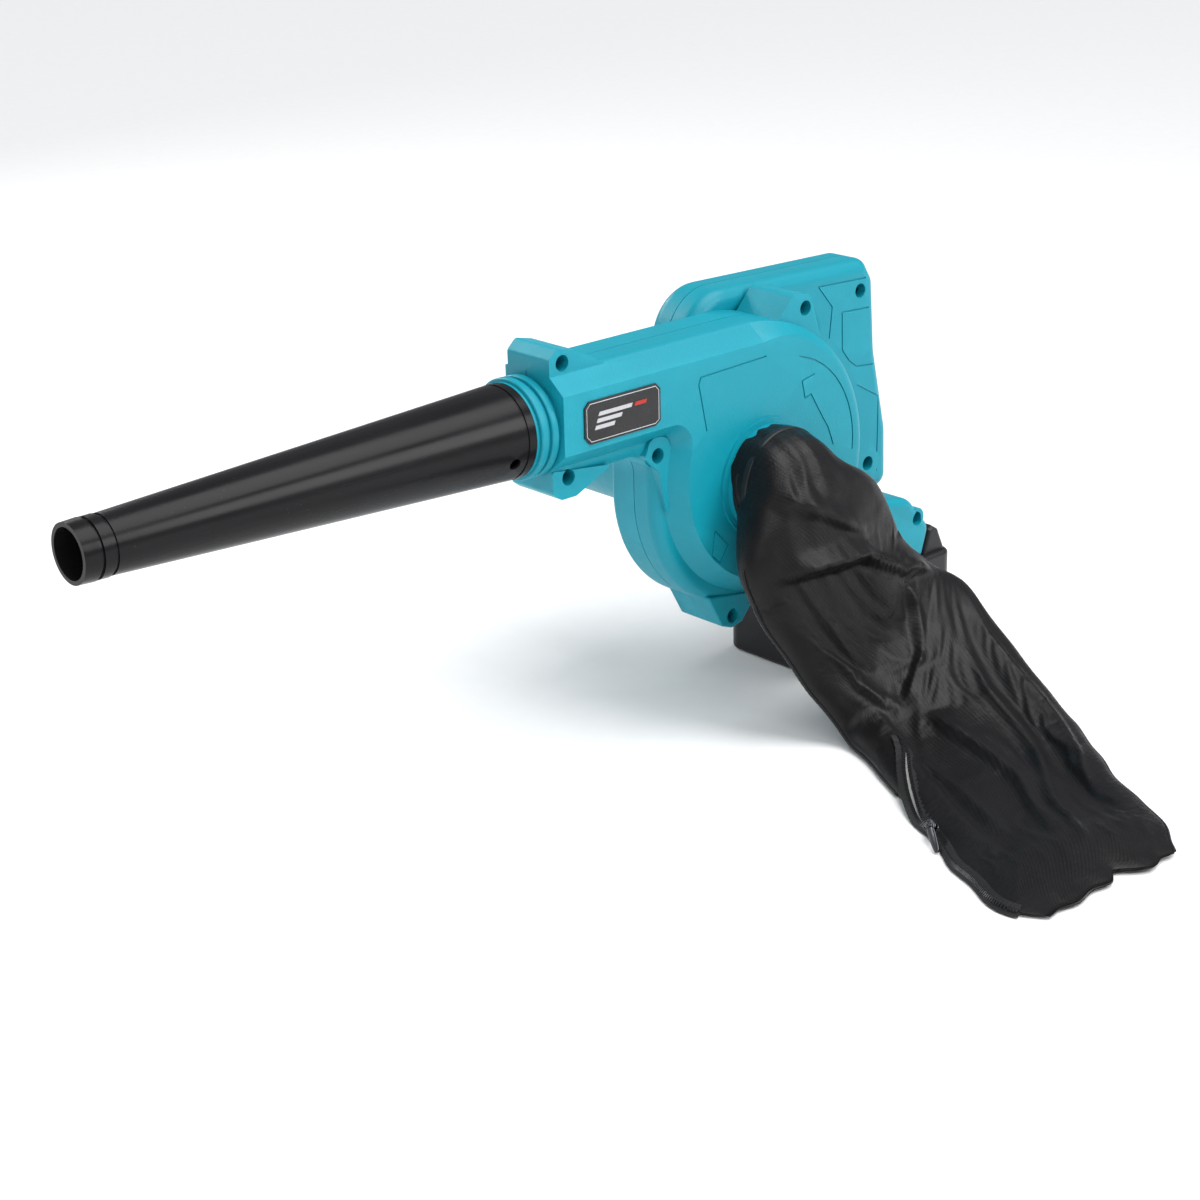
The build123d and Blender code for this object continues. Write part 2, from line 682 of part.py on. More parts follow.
with BuildPart() as commutator:
    add(disc(commutator_r, motor_back - 11, motor_back - 4, bore=shaft_r))
commutator.part.label = "commutator"
export_step(commutator.part, "parts/commutator.step")

impeller_r = 53.0
blade_count = 9
with BuildSketch() as blade:
    with BuildLine():
        inner_face = JernArc(start=(14, 0), tangent=(1, -0.35), radius=52, arc_size=42)
        outer_face = JernArc(start=(14, 2.2), tangent=(1, -0.35), radius=50, arc_size=41)
        Line(inner_face @ 0, outer_face @ 0)
        Line(inner_face @ 1, outer_face @ 1)
    make_face()
with BuildPart() as impeller:
    add(disc(impeller_r, 7, 9, bore=shaft_r))
    add(disc(9, shaft_front + 4, 13, bore=shaft_r))
    with BuildSketch(side(7)):
        with PolarLocations(0, blade_count):
            add(blade.sketch)
    extrude(amount=25)
impeller.part.label = "impeller"
export_step(impeller.part, "parts/impeller.step")

with BuildPart() as impeller_nut:
    with BuildSketch(side(shaft_front + 4)):
        RegularPolygon(4.6, 6)
        Circle(shaft_r, mode=Mode.SUBTRACT)
    extrude(amount=3.5)
impeller_nut.part.label = "impeller_nut"
export_step(impeller_nut.part, "parts/impeller_nut.step")

# ---- Battery rails and terminals in the base ----
rails_top = -67.0
rails_x = (38.2, 137.5)
rails_half = 33.0
channel_front = 53.0
terminal_x = (54.0, 78.0)
terminal_rows = (-16.0, -6.0, 6.0, 16.0)
with BuildPart() as battery_rails:
    add(box_between(rails_x, (battery_mid - rails_half, battery_mid + rails_half), (base_bottom, rails_top)))
    neck = (battery_mid - rail_neck - slip, battery_mid + rail_neck + slip)
    flange = (battery_mid - rail_half - slip, battery_mid + rail_half + slip)
    add(box_between((channel_front, 140), neck, (base_bottom - 1, -78)), mode=Mode.SUBTRACT)
    add(box_between((channel_front, 140), flange, (-80 - slip, rail_top + slip)), mode=Mode.SUBTRACT)
    pocket = (battery_mid - 20.2, battery_mid + 20.2)
    add(box_between((terminal_x[0] - 0.2, terminal_x[1] + 0.2), pocket, (-73, rails_top + 1)), mode=Mode.SUBTRACT)
    add(box_between((41, 50), flange, (base_bottom + 3, rails_top + 1)), mode=Mode.SUBTRACT)
    add(slab(scroll_outline(-wall - 0.3), base_near - 1, back_depth + 0.3), mode=Mode.SUBTRACT)
battery_rails.part.label = "battery_rails"
export_step(battery_rails.part, "parts/battery_rails.step")

with BuildPart() as terminal_block:
    add(box_between(terminal_x, (battery_mid - 20, battery_mid + 20), (rail_top + 0.7, rails_top + 2)))
terminal_block.part.label = "terminal_block"
export_step(terminal_block.part, "parts/terminal_block.step")

with BuildPart() as terminal_blades:
    for row in terminal_rows:
        depth = battery_mid + row
        add(box_between((56, 74), (depth - 0.4, depth + 0.4), (-78, rail_top + 0.7)))
terminal_blades.part.label = "terminal_blades"
export_step(terminal_blades.part, "parts/terminal_blades.step")

# ---- Battery pack ----
case_wall = 2.5
pack_bottom = -fan_z
pack_joint = -100.0        # joint of the lower and upper case
pack_top = base_bottom - 0.3
corner_r = 9.0
hump = [(144.6, -96), (144.6, -88), (150.2, -71.5), (153.5, -69.5), (159, -73), (167.8, -92), (167.8, -96)]
hook_x = (134.0, 139.0)


def pack_slab(low, high, inset=0.0):
    """Rounded rectangle of the battery case between two heights."""
    with BuildPart() as form:
        with BuildSketch(level(low)):
            with Locations(((battery_front + battery_rear) / 2, battery_mid)):
                RectangleRounded(battery_length - 2 * inset, battery_width - 2 * inset, corner_r - inset)
        extrude(amount=high - low)
    return form.part


def hump_form():
    """Raised rear end of the pack, behind the base."""
    with BuildPart() as form:
        with BuildSketch(side(battery_mid + 33)):
            Polygon(*hump, align=None)
        extrude(amount=66)
        rims = form.faces().filter_by(Axis.Y).edges()
        fillet(rims, radius=2.5)
    return form.part


with BuildPart() as battery_bottom_case:
    add(pack_slab(pack_bottom, pack_joint))
    fillet(battery_bottom_case.faces().sort_by(Axis.Z)[0].edges(), radius=2.5)
    add(pack_slab(pack_bottom + case_wall, pack_joint, case_wall), mode=Mode.SUBTRACT)
    # seat of the release spring
    add(box_between((156.6, battery_rear - 1), (battery_mid - 6, battery_mid + 6), (pack_bottom + 1, -112)))
    for x, row in ((58, -30), (58, 30), (160, -30), (160, 30)):
        with BuildSketch(level(pack_bottom)):
            with Locations((x, battery_mid + row)):
                Circle(3.2)
        extrude(amount=1.5, mode=Mode.SUBTRACT)
battery_bottom_case.part.label = "battery_bottom_case"
export_step(battery_bottom_case.part, "parts/battery_bottom_case.step")

with BuildPart() as battery_top_case:
    add(pack_slab(pack_joint, pack_top))
    fillet(battery_top_case.faces().sort_by(Axis.Z)[-1].edges(), radius=2.5)
    add(hump_form())
    add(box_between((54.5, 147), (battery_mid - rail_neck, battery_mid + rail_neck), (pack_top - 2, -79)))
    add(box_between((54.5, 147), (battery_mid - rail_half, battery_mid + rail_half), (-80, rail_top)))
    add(pack_slab(pack_joint, -89, case_wall), mode=Mode.SUBTRACT)
    for row in terminal_rows:
        depth = battery_mid + row
        add(box_between((54, 78), (depth - 1.8, depth + 1.8), (-79.5, rail_top + 1)), mode=Mode.SUBTRACT)
    # slots of the release hook and of the release pad
    hook_gap = (hook_x[0] - 0.5, hook_x[1] + 0.5)
    add(box_between(hook_gap, (battery_mid - 8.5, battery_mid + 8.5), (-90, rail_top + 1)), mode=Mode.SUBTRACT)
    add(box_between((155.5, 170), (battery_mid - 11.4, battery_mid + 11.4), (-95.5, -68)), mode=Mode.SUBTRACT)
battery_top_case.part.label = "battery_top_case"
export_step(battery_top_case.part, "parts/battery_top_case.step")

cell_r = 9.1
cell_pitch = 18.8
cell_mid_x = (battery_front + battery_rear) / 2 - 5
with BuildPart() as battery_cells:
    for row_z in (pack_bottom + case_wall + cell_r + 0.1, pack_bottom + case_wall + 3 * cell_r + 0.5):
        for k in range(5):
            at = (cell_mid_x + cell_pitch * (k - 2), row_z)
            add(disc(cell_r, battery_mid - 32.5, battery_mid + 32.5, at))
battery_cells.part.label = "battery_cells"
export_step(battery_cells.part, "parts/battery_cells.step")

with BuildPart() as cell_links:
    for face in (-33.0, 32.5):
        for k in range(5):
            x = cell_mid_x + cell_pitch * (k - 2)
            depths = (battery_mid + face, battery_mid + face + 0.5)
            add(box_between((x - 4, x + 4), depths, (pack_bottom + 8, pack_bottom + 34)))
cell_links.part.label = "cell_links"
export_step(cell_links.part, "parts/cell_links.step")

with BuildPart() as battery_contacts:
    for row in terminal_rows:
        for edge in (-1.1, 0.55):
            depth = battery_mid + row + edge
            add(box_between((66, 78), (depth, depth + 0.55), (-79.5, -73)))
battery_contacts.part.label = "battery_contacts"
export_step(battery_contacts.part, "parts/battery_contacts.step")

with BuildPart() as battery_screws:
    for x, row in ((58, -30), (58, 30), (160, -30), (160, 30)):
        with BuildSketch(level(pack_bottom + 0.3)):
            with Locations((x, battery_mid + row)):
                Circle(3.1)
        extrude(amount=1.2)
        with BuildSketch(level(pack_bottom + 0.3)):
            with Locations((x, battery_mid + row)):
                RegularPolygon(1.4, 6)
        extrude(amount=0.8, mode=Mode.SUBTRACT)
battery_screws.part.label = "battery_screws"
export_step(battery_screws.part, "parts/battery_screws.step")


def coil(foot, radius, wire, pitch, height, axis=(0, 0, 1)):
    """Coil spring that stands on a foot point, in fan-axis dimensions."""
    with BuildPart() as spring:
        place = Plane(origin=(fan_x + foot[0], air_y + foot[1], fan_z + foot[2]), z_dir=axis)
        with BuildLine(place) as path:
            Helix(pitch=pitch, height=height - wire, radius=radius)
        with BuildSketch(Plane(path.line @ 0, z_dir=path.line % 0)):
            Circle(wire / 2)
        sweep(is_frenet=True)
    return spring.part


pad_half = 11.0
release_travel = 4.0
with BuildPart() as release_button:
    with BuildSketch(side(battery_mid + pad_half)):
        Polygon((156, -90.5), (156, -76), (160.6, -76), (167.9, -90.5), align=None)
    extrude(amount=2 * pad_half)
    grip_edges = release_button.edges().filter_by(Axis.Y).sort_by(Axis.X)[1:]
    fillet(grip_edges, radius=1.5)
    add(box_between((hook_x[0], 157), (battery_mid - 8, battery_mid + 8), (-92.8, -90.5)))
    add(box_between(hook_x, (battery_mid - 8, battery_mid + 8), (-91, rail_top - 0.3)))
    # finger ribs
    for k in range(3):
        x = 162.4 + 1.6 * k
        z = -79.4 - 3.2 * k
        add(box_between((x - 1.5, x + 0.9), (battery_mid - 8, battery_mid + 8), (z - 0.6, z + 0.6)))
release_button.part.label = "release_button"
export_step(release_button.part, "parts/release_button.step")

with BuildPart() as release_spring:
    add(coil((161, battery_mid, -111.6), 3.0, 0.8, 3.4, 20.6))
release_spring.part.label = "release_spring"
export_step(release_spring.part, "parts/release_spring.step")

# ---- Trigger, switch and lock-on button in the grip ----
trigger_travel = 5.0
with BuildPart() as trigger:
    with BuildSketch(side(handle_split + trigger_half)):
        add(rounded_polygon([(12, 81), (12, 72), (18, trigger_z), (38, trigger_z + 1), (44, 72), (44, 81)],
                            [0.5, 6, 5, 6, 5, 0.5]))
    extrude(amount=2 * trigger_half)
    lower = trigger.edges().filter_by(lambda e: e.center().Z < fan_z + 79).filter_by(Plane.XZ)
    fillet(lower, radius=2.0)
    trigger_flange = (handle_split - trigger_half - 2, handle_split + trigger_half + 2)
    add(box_between((trigger_x[0] - 3, trigger_x[1] + 3), trigger_flange, (80.9, 84)))
    with BuildSketch(level(81)):
        with Locations((28, handle_split)):
            Circle(4.4)
    extrude(amount=4, mode=Mode.SUBTRACT)
trigger.part.label = "trigger"
export_step(trigger.part, "parts/trigger.step")

spring_top = 89.8
with BuildPart() as trigger_spring:
    add(coil((28, handle_split, 81.4), 3.0, 0.8, 2.2, spring_top - 81.4))
trigger_spring.part.label = "trigger_spring"
export_step(trigger_spring.part, "parts/trigger_spring.step")

with BuildPart() as switch_body:
    add(box_between((50, 86), (22, 40), (79.9, 88)))
    add(box_between((47.6, 50), (29, 35), (85, 87.5)))
switch_body.part.label = "switch_body"
export_step(switch_body.part, "parts/switch_body.step")

lock_travel = 2.5
with BuildPart() as lock_button:
    add(rounded_slab(disc_face(lock_r), 44.5, 50, 1.2, -1).moved(Location((lock_at[0], 0, lock_at[1]))))
    add(disc(lock_r + 1.2, 43.4, 45.2, lock_at))
lock_button.part.label = "lock_button"
export_step(lock_button.part, "parts/lock_button.step")

# ---- Controller and leads ----
with BuildPart() as control_board:
    add(box_between((62, 124), (-4, 40), (-64.4, -62.8)))
    add(box_between((70, 90), (4, 24), (-62.8, -56)))
    add(box_between((98, 110), (8, 20), (-62.8, -54)))
control_board.part.label = "control_board"
export_step(control_board.part, "parts/control_board.step")

lead_r = 1.3
with BuildPart() as switch_leads:
    for shift in (0, 5):
        with BuildLine() as route:
            FilletPolyline(
                (fan_x + 118 + shift, air_y + 28 + shift, fan_z - 62.8),
                (fan_x + 118 + shift, air_y + 28 + shift, fan_z + 30),
                (fan_x + 108 + shift, air_y + 28 + shift, fan_z + 78 + shift / 5),
                (fan_x + 86, air_y + 28 + shift, fan_z + 82 + shift / 5),
                radius=10,
            )
        with BuildSketch(Plane(route.line @ 0, z_dir=route.line % 0)):
            Circle(lead_r)
        sweep()
switch_leads.part.label = "switch_leads"
export_step(switch_leads.part, "parts/switch_leads.step")

# ---- Dust bag: neck plugged into the intake, hose band and cloth bag ----
neck_r = 26.2
sleeve_r = 29.0
with BuildPart() as bag_neck:
    add(disc(intake_bore_r - 0.05, -intake_rim - 0.3, -23, bore=22.5))
    add(disc(30.0, -intake_rim - 3.2, -intake_rim - 0.3, bore=22.5))
    add(disc(neck_r, -48, -intake_rim - 3.2, bore=22.5))
    add(disc(neck_r + 0.9, -48, -46.6, bore=22.5))
    for angle in (0, 90):
        with BuildSketch(side(-23)):
            Rectangle(46, 2, rotation=angle)
            Circle(4)
        extrude(amount=2)
bag_neck.part.label = "bag_neck"
export_step(bag_neck.part, "parts/bag_neck.step")

with BuildPart() as bag_band:
    add(disc(sleeve_r + 1.6, -43.5, -39.5, bore=sleeve_r + 0.1))
    band_rims = bag_band.edges().filter_by(GeomType.CIRCLE).filter_by(lambda e: e.radius > sleeve_r + 1)
    fillet(band_rims, radius=1.0)
bag_band.part.label = "bag_band"
export_step(bag_band.part, "parts/bag_band.step")

# Limp bag: it hangs from the neck, reaches the ground and lies on it towards the front
sleeve_end = -50.0
drape_front = [(-24, 26), (24, 26), (44, 6), (60, -14), (76, -44), (95, -62), (110, -82), (106, -112),
               (97, -137), (-2, -137), (-16, -114), (-34, -86), (-50, -54), (-50, -28)]
drape_side = [(-46, 26), (-54, 24), (-62, 10), (-76, -30), (-90, -72), (-106, -108), (-118, -137),
              (-88, -137), (-78, -108), (-66, -76), (-55, -40), (-46, -26)]
floor_plan = [(-2, -90), (100, -90), (103, -130), (89, -176), (62, -220), (36, -267), (10, -294), (-35, -289),
              (-82, -289), (-91, -268), (-66, -215), (-30, -145)]
floor_side = [(-80, -137), (-92, -114), (-124, -113), (-160, -117), (-200, -120), (-250, -124), (-284, -130),
              (-295, -134), (-295, -137)]


def soft_polygon(points, radius):
    """Face of a polygon with every corner rounded alike."""
    with BuildSketch() as outline:
        Polygon(*points, align=None)
        fillet(outline.vertices(), radius=radius)
    return outline.sketch


with BuildPart() as lying_cloth:
    with BuildSketch(level(pack_bottom)):
        add(soft_polygon(floor_plan, 6))
    extrude(amount=30)
    with BuildSketch(across(-120)):
        Polygon(*floor_side, align=None)
    extrude(amount=240, mode=Mode.INTERSECT)
with BuildPart() as dust_bag:
    add(slab(soft_polygon(drape_front, 6), -124, -46))
    with BuildSketch(across(-60)):
        Polygon(*drape_side, align=None)
    extrude(amount=180, mode=Mode.INTERSECT)
    add(lying_cloth.part)
    add(disc(sleeve_r, sleeve_end, -37))
    add(disc(neck_r + 1.3, -48.5, -36), mode=Mode.SUBTRACT)
dust_bag.part.label = "dust_bag"
export_step(dust_bag.part, "parts/dust_bag.step")
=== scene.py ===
import math

import bpy
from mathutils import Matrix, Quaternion, Vector, noise


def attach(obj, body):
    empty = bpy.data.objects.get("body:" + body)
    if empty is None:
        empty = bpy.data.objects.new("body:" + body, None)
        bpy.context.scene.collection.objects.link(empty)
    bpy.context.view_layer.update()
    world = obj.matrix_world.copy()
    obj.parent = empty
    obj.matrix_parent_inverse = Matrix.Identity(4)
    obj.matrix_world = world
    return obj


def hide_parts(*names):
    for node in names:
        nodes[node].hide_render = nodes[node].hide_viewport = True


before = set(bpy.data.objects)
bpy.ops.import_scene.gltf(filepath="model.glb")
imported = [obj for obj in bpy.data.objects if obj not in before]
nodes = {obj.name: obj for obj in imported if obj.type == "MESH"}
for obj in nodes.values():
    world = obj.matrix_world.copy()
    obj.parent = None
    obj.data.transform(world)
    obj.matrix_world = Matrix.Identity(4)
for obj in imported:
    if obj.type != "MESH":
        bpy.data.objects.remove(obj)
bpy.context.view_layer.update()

FAN = Vector((-0.109, -0.014, 0.137))     # fan axis at the air plane, in the row frame
MM = 0.001


def at(x, depth, z):
    """Point of the row frame from fan-axis dimensions in mm."""
    return FAN + Vector((x, depth, z)) * MM


# ---------------------------------------------------------------- camera
camera = bpy.data.objects.new("camera", bpy.data.cameras.new("camera"))
bpy.context.scene.collection.objects.link(camera)
bpy.context.scene.camera = camera
camera.data.sensor_width = 36.0
camera.data.lens = 69.8
camera.data.clip_start = 0.05
camera.data.clip_end = 20.0
camera.location = (-0.9735, -0.8770, 0.5349)
camera.rotation_mode = "QUATERNION"
ROLL = math.radians(1.52)
forward = Vector((0.619, 0.696, -0.363))
camera.rotation_quaternion = forward.to_track_quat("-Z", "Y") @ Quaternion((0, 0, 1), -ROLL)


# ---------------------------------------------------------------- material helpers
class Shader:
    """A node material with short calls for the nodes it needs."""

    def __init__(self, name, color, roughness):
        self.material = bpy.data.materials.new(name)
        self.material.use_nodes = True
        self.tree = self.material.node_tree
        self.tree.nodes.clear()
        self.output = self.node("ShaderNodeOutputMaterial")
        self.bsdf = self.node("ShaderNodeBsdfPrincipled")
        self.link(self.bsdf.outputs[0], self.output.inputs["Surface"])
        self.set("Base Color", (*color, 1))
        self.set("Roughness", roughness)
        self.place = self.node("ShaderNodeTexCoord").outputs["Object"]

    def node(self, kind, **values):
        made = self.tree.nodes.new(kind)
        for key, value in values.items():
            setattr(made, key, value)
        return made

    def link(self, source, target):
        self.tree.links.new(source, target)

    def set(self, name, value):
        self.bsdf.inputs[name].default_value = value

    def stretch(self, scale, source=None):
        mapping = self.node("ShaderNodeMapping")
        mapping.inputs["Scale"].default_value = scale
        self.link(source or self.place, mapping.inputs["Vector"])
        return mapping.outputs["Vector"]

    def noise(self, scale, detail=3.0, source=None, distortion=0.0):
        made = self.node("ShaderNodeTexNoise")
        made.inputs["Scale"].default_value = scale
        made.inputs["Detail"].default_value = detail
        made.inputs["Distortion"].default_value = distortion
        self.link(source or self.place, made.inputs["Vector"])
        return made.outputs["Fac"]

    def voronoi(self, scale, source=None):
        made = self.node("ShaderNodeTexVoronoi")
        made.inputs["Scale"].default_value = scale
        self.link(source or self.place, made.inputs["Vector"])
        return made.outputs["Distance"]

    def wave(self, scale, direction, source):
        made = self.node("ShaderNodeTexWave", bands_direction=direction)
        made.inputs["Scale"].default_value = scale
        self.link(source, made.inputs["Vector"])
        return made.outputs["Fac"]

    def math(self, operation, first, second):
        made = self.node("ShaderNodeMath", operation=operation)
        for socket, value in zip(made.inputs, (first, second)):
            if isinstance(value, (int, float)):
                socket.default_value = value
            else:
                self.link(value, socket)
        return made.outputs[0]

    def remap(self, source, low, high, to_low, to_high):
        made = self.node("ShaderNodeMapRange")
        for name, value in (("From Min", low), ("From Max", high), ("To Min", to_low), ("To Max", to_high)):
            made.inputs[name].default_value = value
        self.link(source, made.inputs["Value"])
        return made.outputs["Result"]

    def mix(self, factor, first, second):
        made = self.node("ShaderNodeMix", data_type="RGBA")
        for name, value in (("A", first), ("B", second)):
            sockets = [s for s in made.inputs if s.name == name and s.type == "RGBA"]
            if isinstance(value, tuple):
                sockets[0].default_value = value
            else:
                self.link(value, sockets[0])
        self.link(factor, made.inputs["Factor"])
        return [s for s in made.outputs if s.type == "RGBA"][0]

    def pointiness(self, low, high):
        geometry = self.node("ShaderNodeNewGeometry")
        return self.remap(geometry.outputs["Pointiness"], low, high, 0.0, 1.0)

    def bump(self, height, strength, distance, normal=None):
        made = self.node("ShaderNodeBump")
        made.inputs["Strength"].default_value = strength
        made.inputs["Distance"].default_value = distance
        self.link(height, made.inputs["Height"])
        if normal is not None:
            self.link(normal, made.inputs["Normal"])
        return made.outputs["Normal"]


def shade(color, factor):
    return tuple(c * factor for c in color[:3]) + (1,)


def moulded(name, color, roughness, grain=0.10, grain_scale=1500.0, wear=0.16, gloss_range=0.06):
    """Injection-moulded plastic: spark-eroded grain, faint flow variation and paler edges."""
    s = Shader(name, color, roughness)
    cloudy = s.noise(14.0, 4.0)
    base = s.mix(cloudy, shade(color, 0.94), shade(color, 1.06))
    edge = s.pointiness(0.515, 0.60)
    scuffed = s.math("MULTIPLY", edge, s.remap(s.noise(60.0, 5.0), 0.35, 0.7, 0.3, 1.0))
    pale = tuple(min(1.0, c * (1 + wear) + 0.02 * wear) for c in color) + (1,)
    s.link(s.mix(scuffed, base, pale), s.bsdf.inputs["Base Color"])
    fine = s.noise(220.0, 6.0)
    gloss = s.remap(fine, 0.3, 0.7, roughness - gloss_range, roughness + gloss_range)
    s.link(gloss, s.bsdf.inputs["Roughness"])
    height = s.math("ADD", s.voronoi(grain_scale), s.noise(grain_scale * 0.6, 2.0))
    s.link(s.bump(height, grain, 0.0004), s.bsdf.inputs["Normal"])
    s.set("Specular IOR Level", 0.30)
    return s.material


def metal(name, color, roughness, stretch=(1, 1, 1), scale=300.0):
    """Turned, drawn or stamped metal with fine tool marks and dull patches."""
    s = Shader(name, color, roughness)
    s.set("Metallic", 1.0)
    marks = s.noise(scale, 6.0, s.stretch(stretch))
    dull = s.noise(40.0, 4.0)
    s.link(s.mix(dull, shade(color, 0.75), shade(color, 1.1)), s.bsdf.inputs["Base Color"])
    s.link(s.remap(marks, 0.3, 0.7, roughness - 0.08, roughness + 0.12), s.bsdf.inputs["Roughness"])
    s.link(s.bump(marks, 0.12, 0.0002), s.bsdf.inputs["Normal"])
    return s.material


# ---------------------------------------------------------------- materials of the CAD pieces
TEAL = (0.003, 0.268, 0.352)
BLACK = (0.012, 0.012, 0.0135)


def nozzle_material():
    """Black polyethylene with a low gloss, drawn scuffs along the tube and specks of dust."""
    s = Shader("nozzle_black", (0.013, 0.013, 0.014), 0.33)
    streaks = s.noise(90.0, 6.0, s.stretch((0.12, 1, 1)))
    specks = s.remap(s.voronoi(420.0), 0.0, 0.10, 1.0, 0.0)
    speck_gate = s.remap(s.noise(55.0, 2.0), 0.58, 0.66, 0.0, 1.0)
    dust = s.math("MULTIPLY", specks, speck_gate)
    base = s.mix(streaks, (0.006, 0.006, 0.007, 1), (0.012, 0.012, 0.013, 1))
    s.link(s.mix(dust, base, (0.10, 0.10, 0.10, 1)), s.bsdf.inputs["Base Color"])
    s.link(s.remap(streaks, 0.3, 0.7, 0.20, 0.30), s.bsdf.inputs["Roughness"])
    rough = s.math("ADD", s.math("MULTIPLY", streaks, 0.5), s.noise(1400.0, 2.0))
    s.link(s.bump(rough, 0.05, 0.0003), s.bsdf.inputs["Normal"])
    s.set("Specular IOR Level", 0.15)
    return s.material


teal = moulded("housing_teal", TEAL, 0.40, grain=0.16, grain_scale=1300.0)
nozzle_black = nozzle_material()
label_black = moulded("label_black", (0.010, 0.010, 0.011), 0.25, grain=0.02, wear=0.5)
black_plastic = moulded("black_plastic", BLACK, 0.42, grain=0.16)
battery_black = moulded("battery_black", (0.014, 0.014, 0.016), 0.36, grain=0.12)
fan_black = moulded("fan_black", (0.016, 0.016, 0.017), 0.45, grain=0.10)
steel = metal("steel", (0.50, 0.51, 0.53), 0.34, (1, 6, 1))
dark_steel = metal("dark_steel", (0.022, 0.022, 0.024), 0.50)
ferrite = moulded("ferrite", (0.030, 0.030, 0.033), 0.55, grain=0.25, grain_scale=700.0)
copper = metal("copper", (0.62, 0.26, 0.12), 0.36, (1, 1, 1), 700.0)
brass = metal("brass", (0.72, 0.53, 0.22), 0.30, (6, 1, 1))
carbon = moulded("carbon", (0.02, 0.02, 0.02), 0.6, grain=0.3, grain_scale=900.0)
cell_wrap = moulded("cell_wrap", (0.05, 0.17, 0.42), 0.30, grain=0.03)
board_green = moulded("board_green", (0.02, 0.14, 0.05), 0.38, grain=0.10, grain_scale=500.0)
wire_red = moulded("wire_red", (0.42, 0.02, 0.015), 0.42, grain=0.05)

look = {
    "fan_cover": teal, "center_housing": teal, "motor_housing": teal, "motor_end_cap": teal,
    "outlet_collar": teal, "nozzle": nozzle_black, "label_plate": label_black,
    "cover_screws": dark_steel, "handle_screws": dark_steel, "motor_plate": steel,
    "motor_screws": steel, "motor_can": steel, "motor_magnets": ferrite, "motor_bearings": steel,
    "motor_end_bell": black_plastic, "brushes": carbon, "rotor_shaft": steel, "armature": steel,
    "windings": copper, "commutator": copper, "impeller": fan_black, "impeller_nut": steel,
    "battery_rails": black_plastic, "terminal_block": black_plastic, "terminal_blades": brass,
    "battery_bottom_case": battery_black, "battery_top_case": battery_black,
    "battery_cells": cell_wrap, "cell_links": steel, "battery_contacts": brass,
    "battery_screws": dark_steel, "release_button": black_plastic, "release_spring": steel,
    "trigger": black_plastic, "trigger_spring": steel, "switch_body": black_plastic,
    "lock_button": black_plastic, "control_board": board_green, "switch_leads": wire_red,
    "bag_neck": black_plastic, "bag_band": black_plastic,
}
for name, material in look.items():
    nodes[name].data.materials.clear()
    nodes[name].data.materials.append(material)
    for polygon in nodes[name].data.polygons:
        polygon.material_index = 0


# ---------------------------------------------------------------- mesh helpers
def piece_from(name, verts, faces, material, body, smooth=True):
    """Mesh object from points and faces, riding on a body."""
    mesh = bpy.data.meshes.new(name)
    mesh.from_pydata([tuple(v) for v in verts], [], faces)
    mesh.update()
    mesh.materials.append(material)
    for polygon in mesh.polygons:
        polygon.use_smooth = smooth
    piece = bpy.data.objects.new(name, mesh)
    bpy.context.scene.collection.objects.link(piece)
    if body:
        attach(piece, body)
    return piece


def tube_along(points, radius, sides=8, closed=False):
    """Verts and faces of a round tube along a line of points, with flat ends."""
    count = len(points)
    verts, faces = [], []
    normal = None
    for i, point in enumerate(points):
        before = points[i - 1] if i or closed else points[0]
        after = points[(i + 1) % count] if i < count - 1 or closed else points[-1]
        tangent = (after - before).normalized()
        if normal is None:
            normal = tangent.orthogonal().normalized()
        normal = (normal - tangent * normal.dot(tangent)).normalized()
        other = tangent.cross(normal)
        for k in range(sides):
            angle = 2 * math.pi * k / sides
            verts.append(point + (normal * math.cos(angle) + other * math.sin(angle)) * radius)
    rings = count if closed else count - 1
    for i in range(rings):
        a, b = i * sides, ((i + 1) % count) * sides
        for k in range(sides):
            m = (k + 1) % sides
            faces.append((a + k, a + m, b + m, b + k))
    if not closed:
        faces.append(tuple(reversed(range(sides))))
        faces.append(tuple(range((count - 1) * sides, count * sides)))
    return verts, faces


def join_parts(parts):
    """One list of verts and faces from several."""
    verts, faces = [], []
    for v, f in parts:
        start = len(verts)
        verts.extend(v)
        faces.extend(tuple(i + start for i in face) for face in f)
    return verts, faces


def block(center, axes, half):
    """Small box with chosen axes."""
    verts = []
    for i in (-1, 1):
        for j in (-1, 1):
            for k in (-1, 1):
                verts.append(center + axes[0] * half[0] * i + axes[1] * half[1] * j + axes[2] * half[2] * k)
    faces = [(0, 1, 3, 2), (4, 6, 7, 5), (0, 4, 5, 1), (2, 3, 7, 6), (0, 2, 6, 4), (1, 5, 7, 3)]
    return verts, faces


# ---------------------------------------------------------------- dust bag
def smooth_line(points, steps):
    """Catmull-Rom line through points, evenly spaced by point index."""
    line = []
    last = len(points) - 1
    for i in range(steps + 1):
        t = i / steps * last
        k = min(int(t), last - 1)
        f = t - k
        p0, p1 = points[max(k - 1, 0)], points[k]
        p2, p3 = points[k + 1], points[min(k + 2, last)]
        line.append(0.5 * (2 * p1 + (p2 - p0) * f + (2 * p0 - 5 * p1 + 4 * p2 - p3) * f * f
                           + (3 * p1 - p0 - 3 * p2 + p3) * f ** 3))
    return line


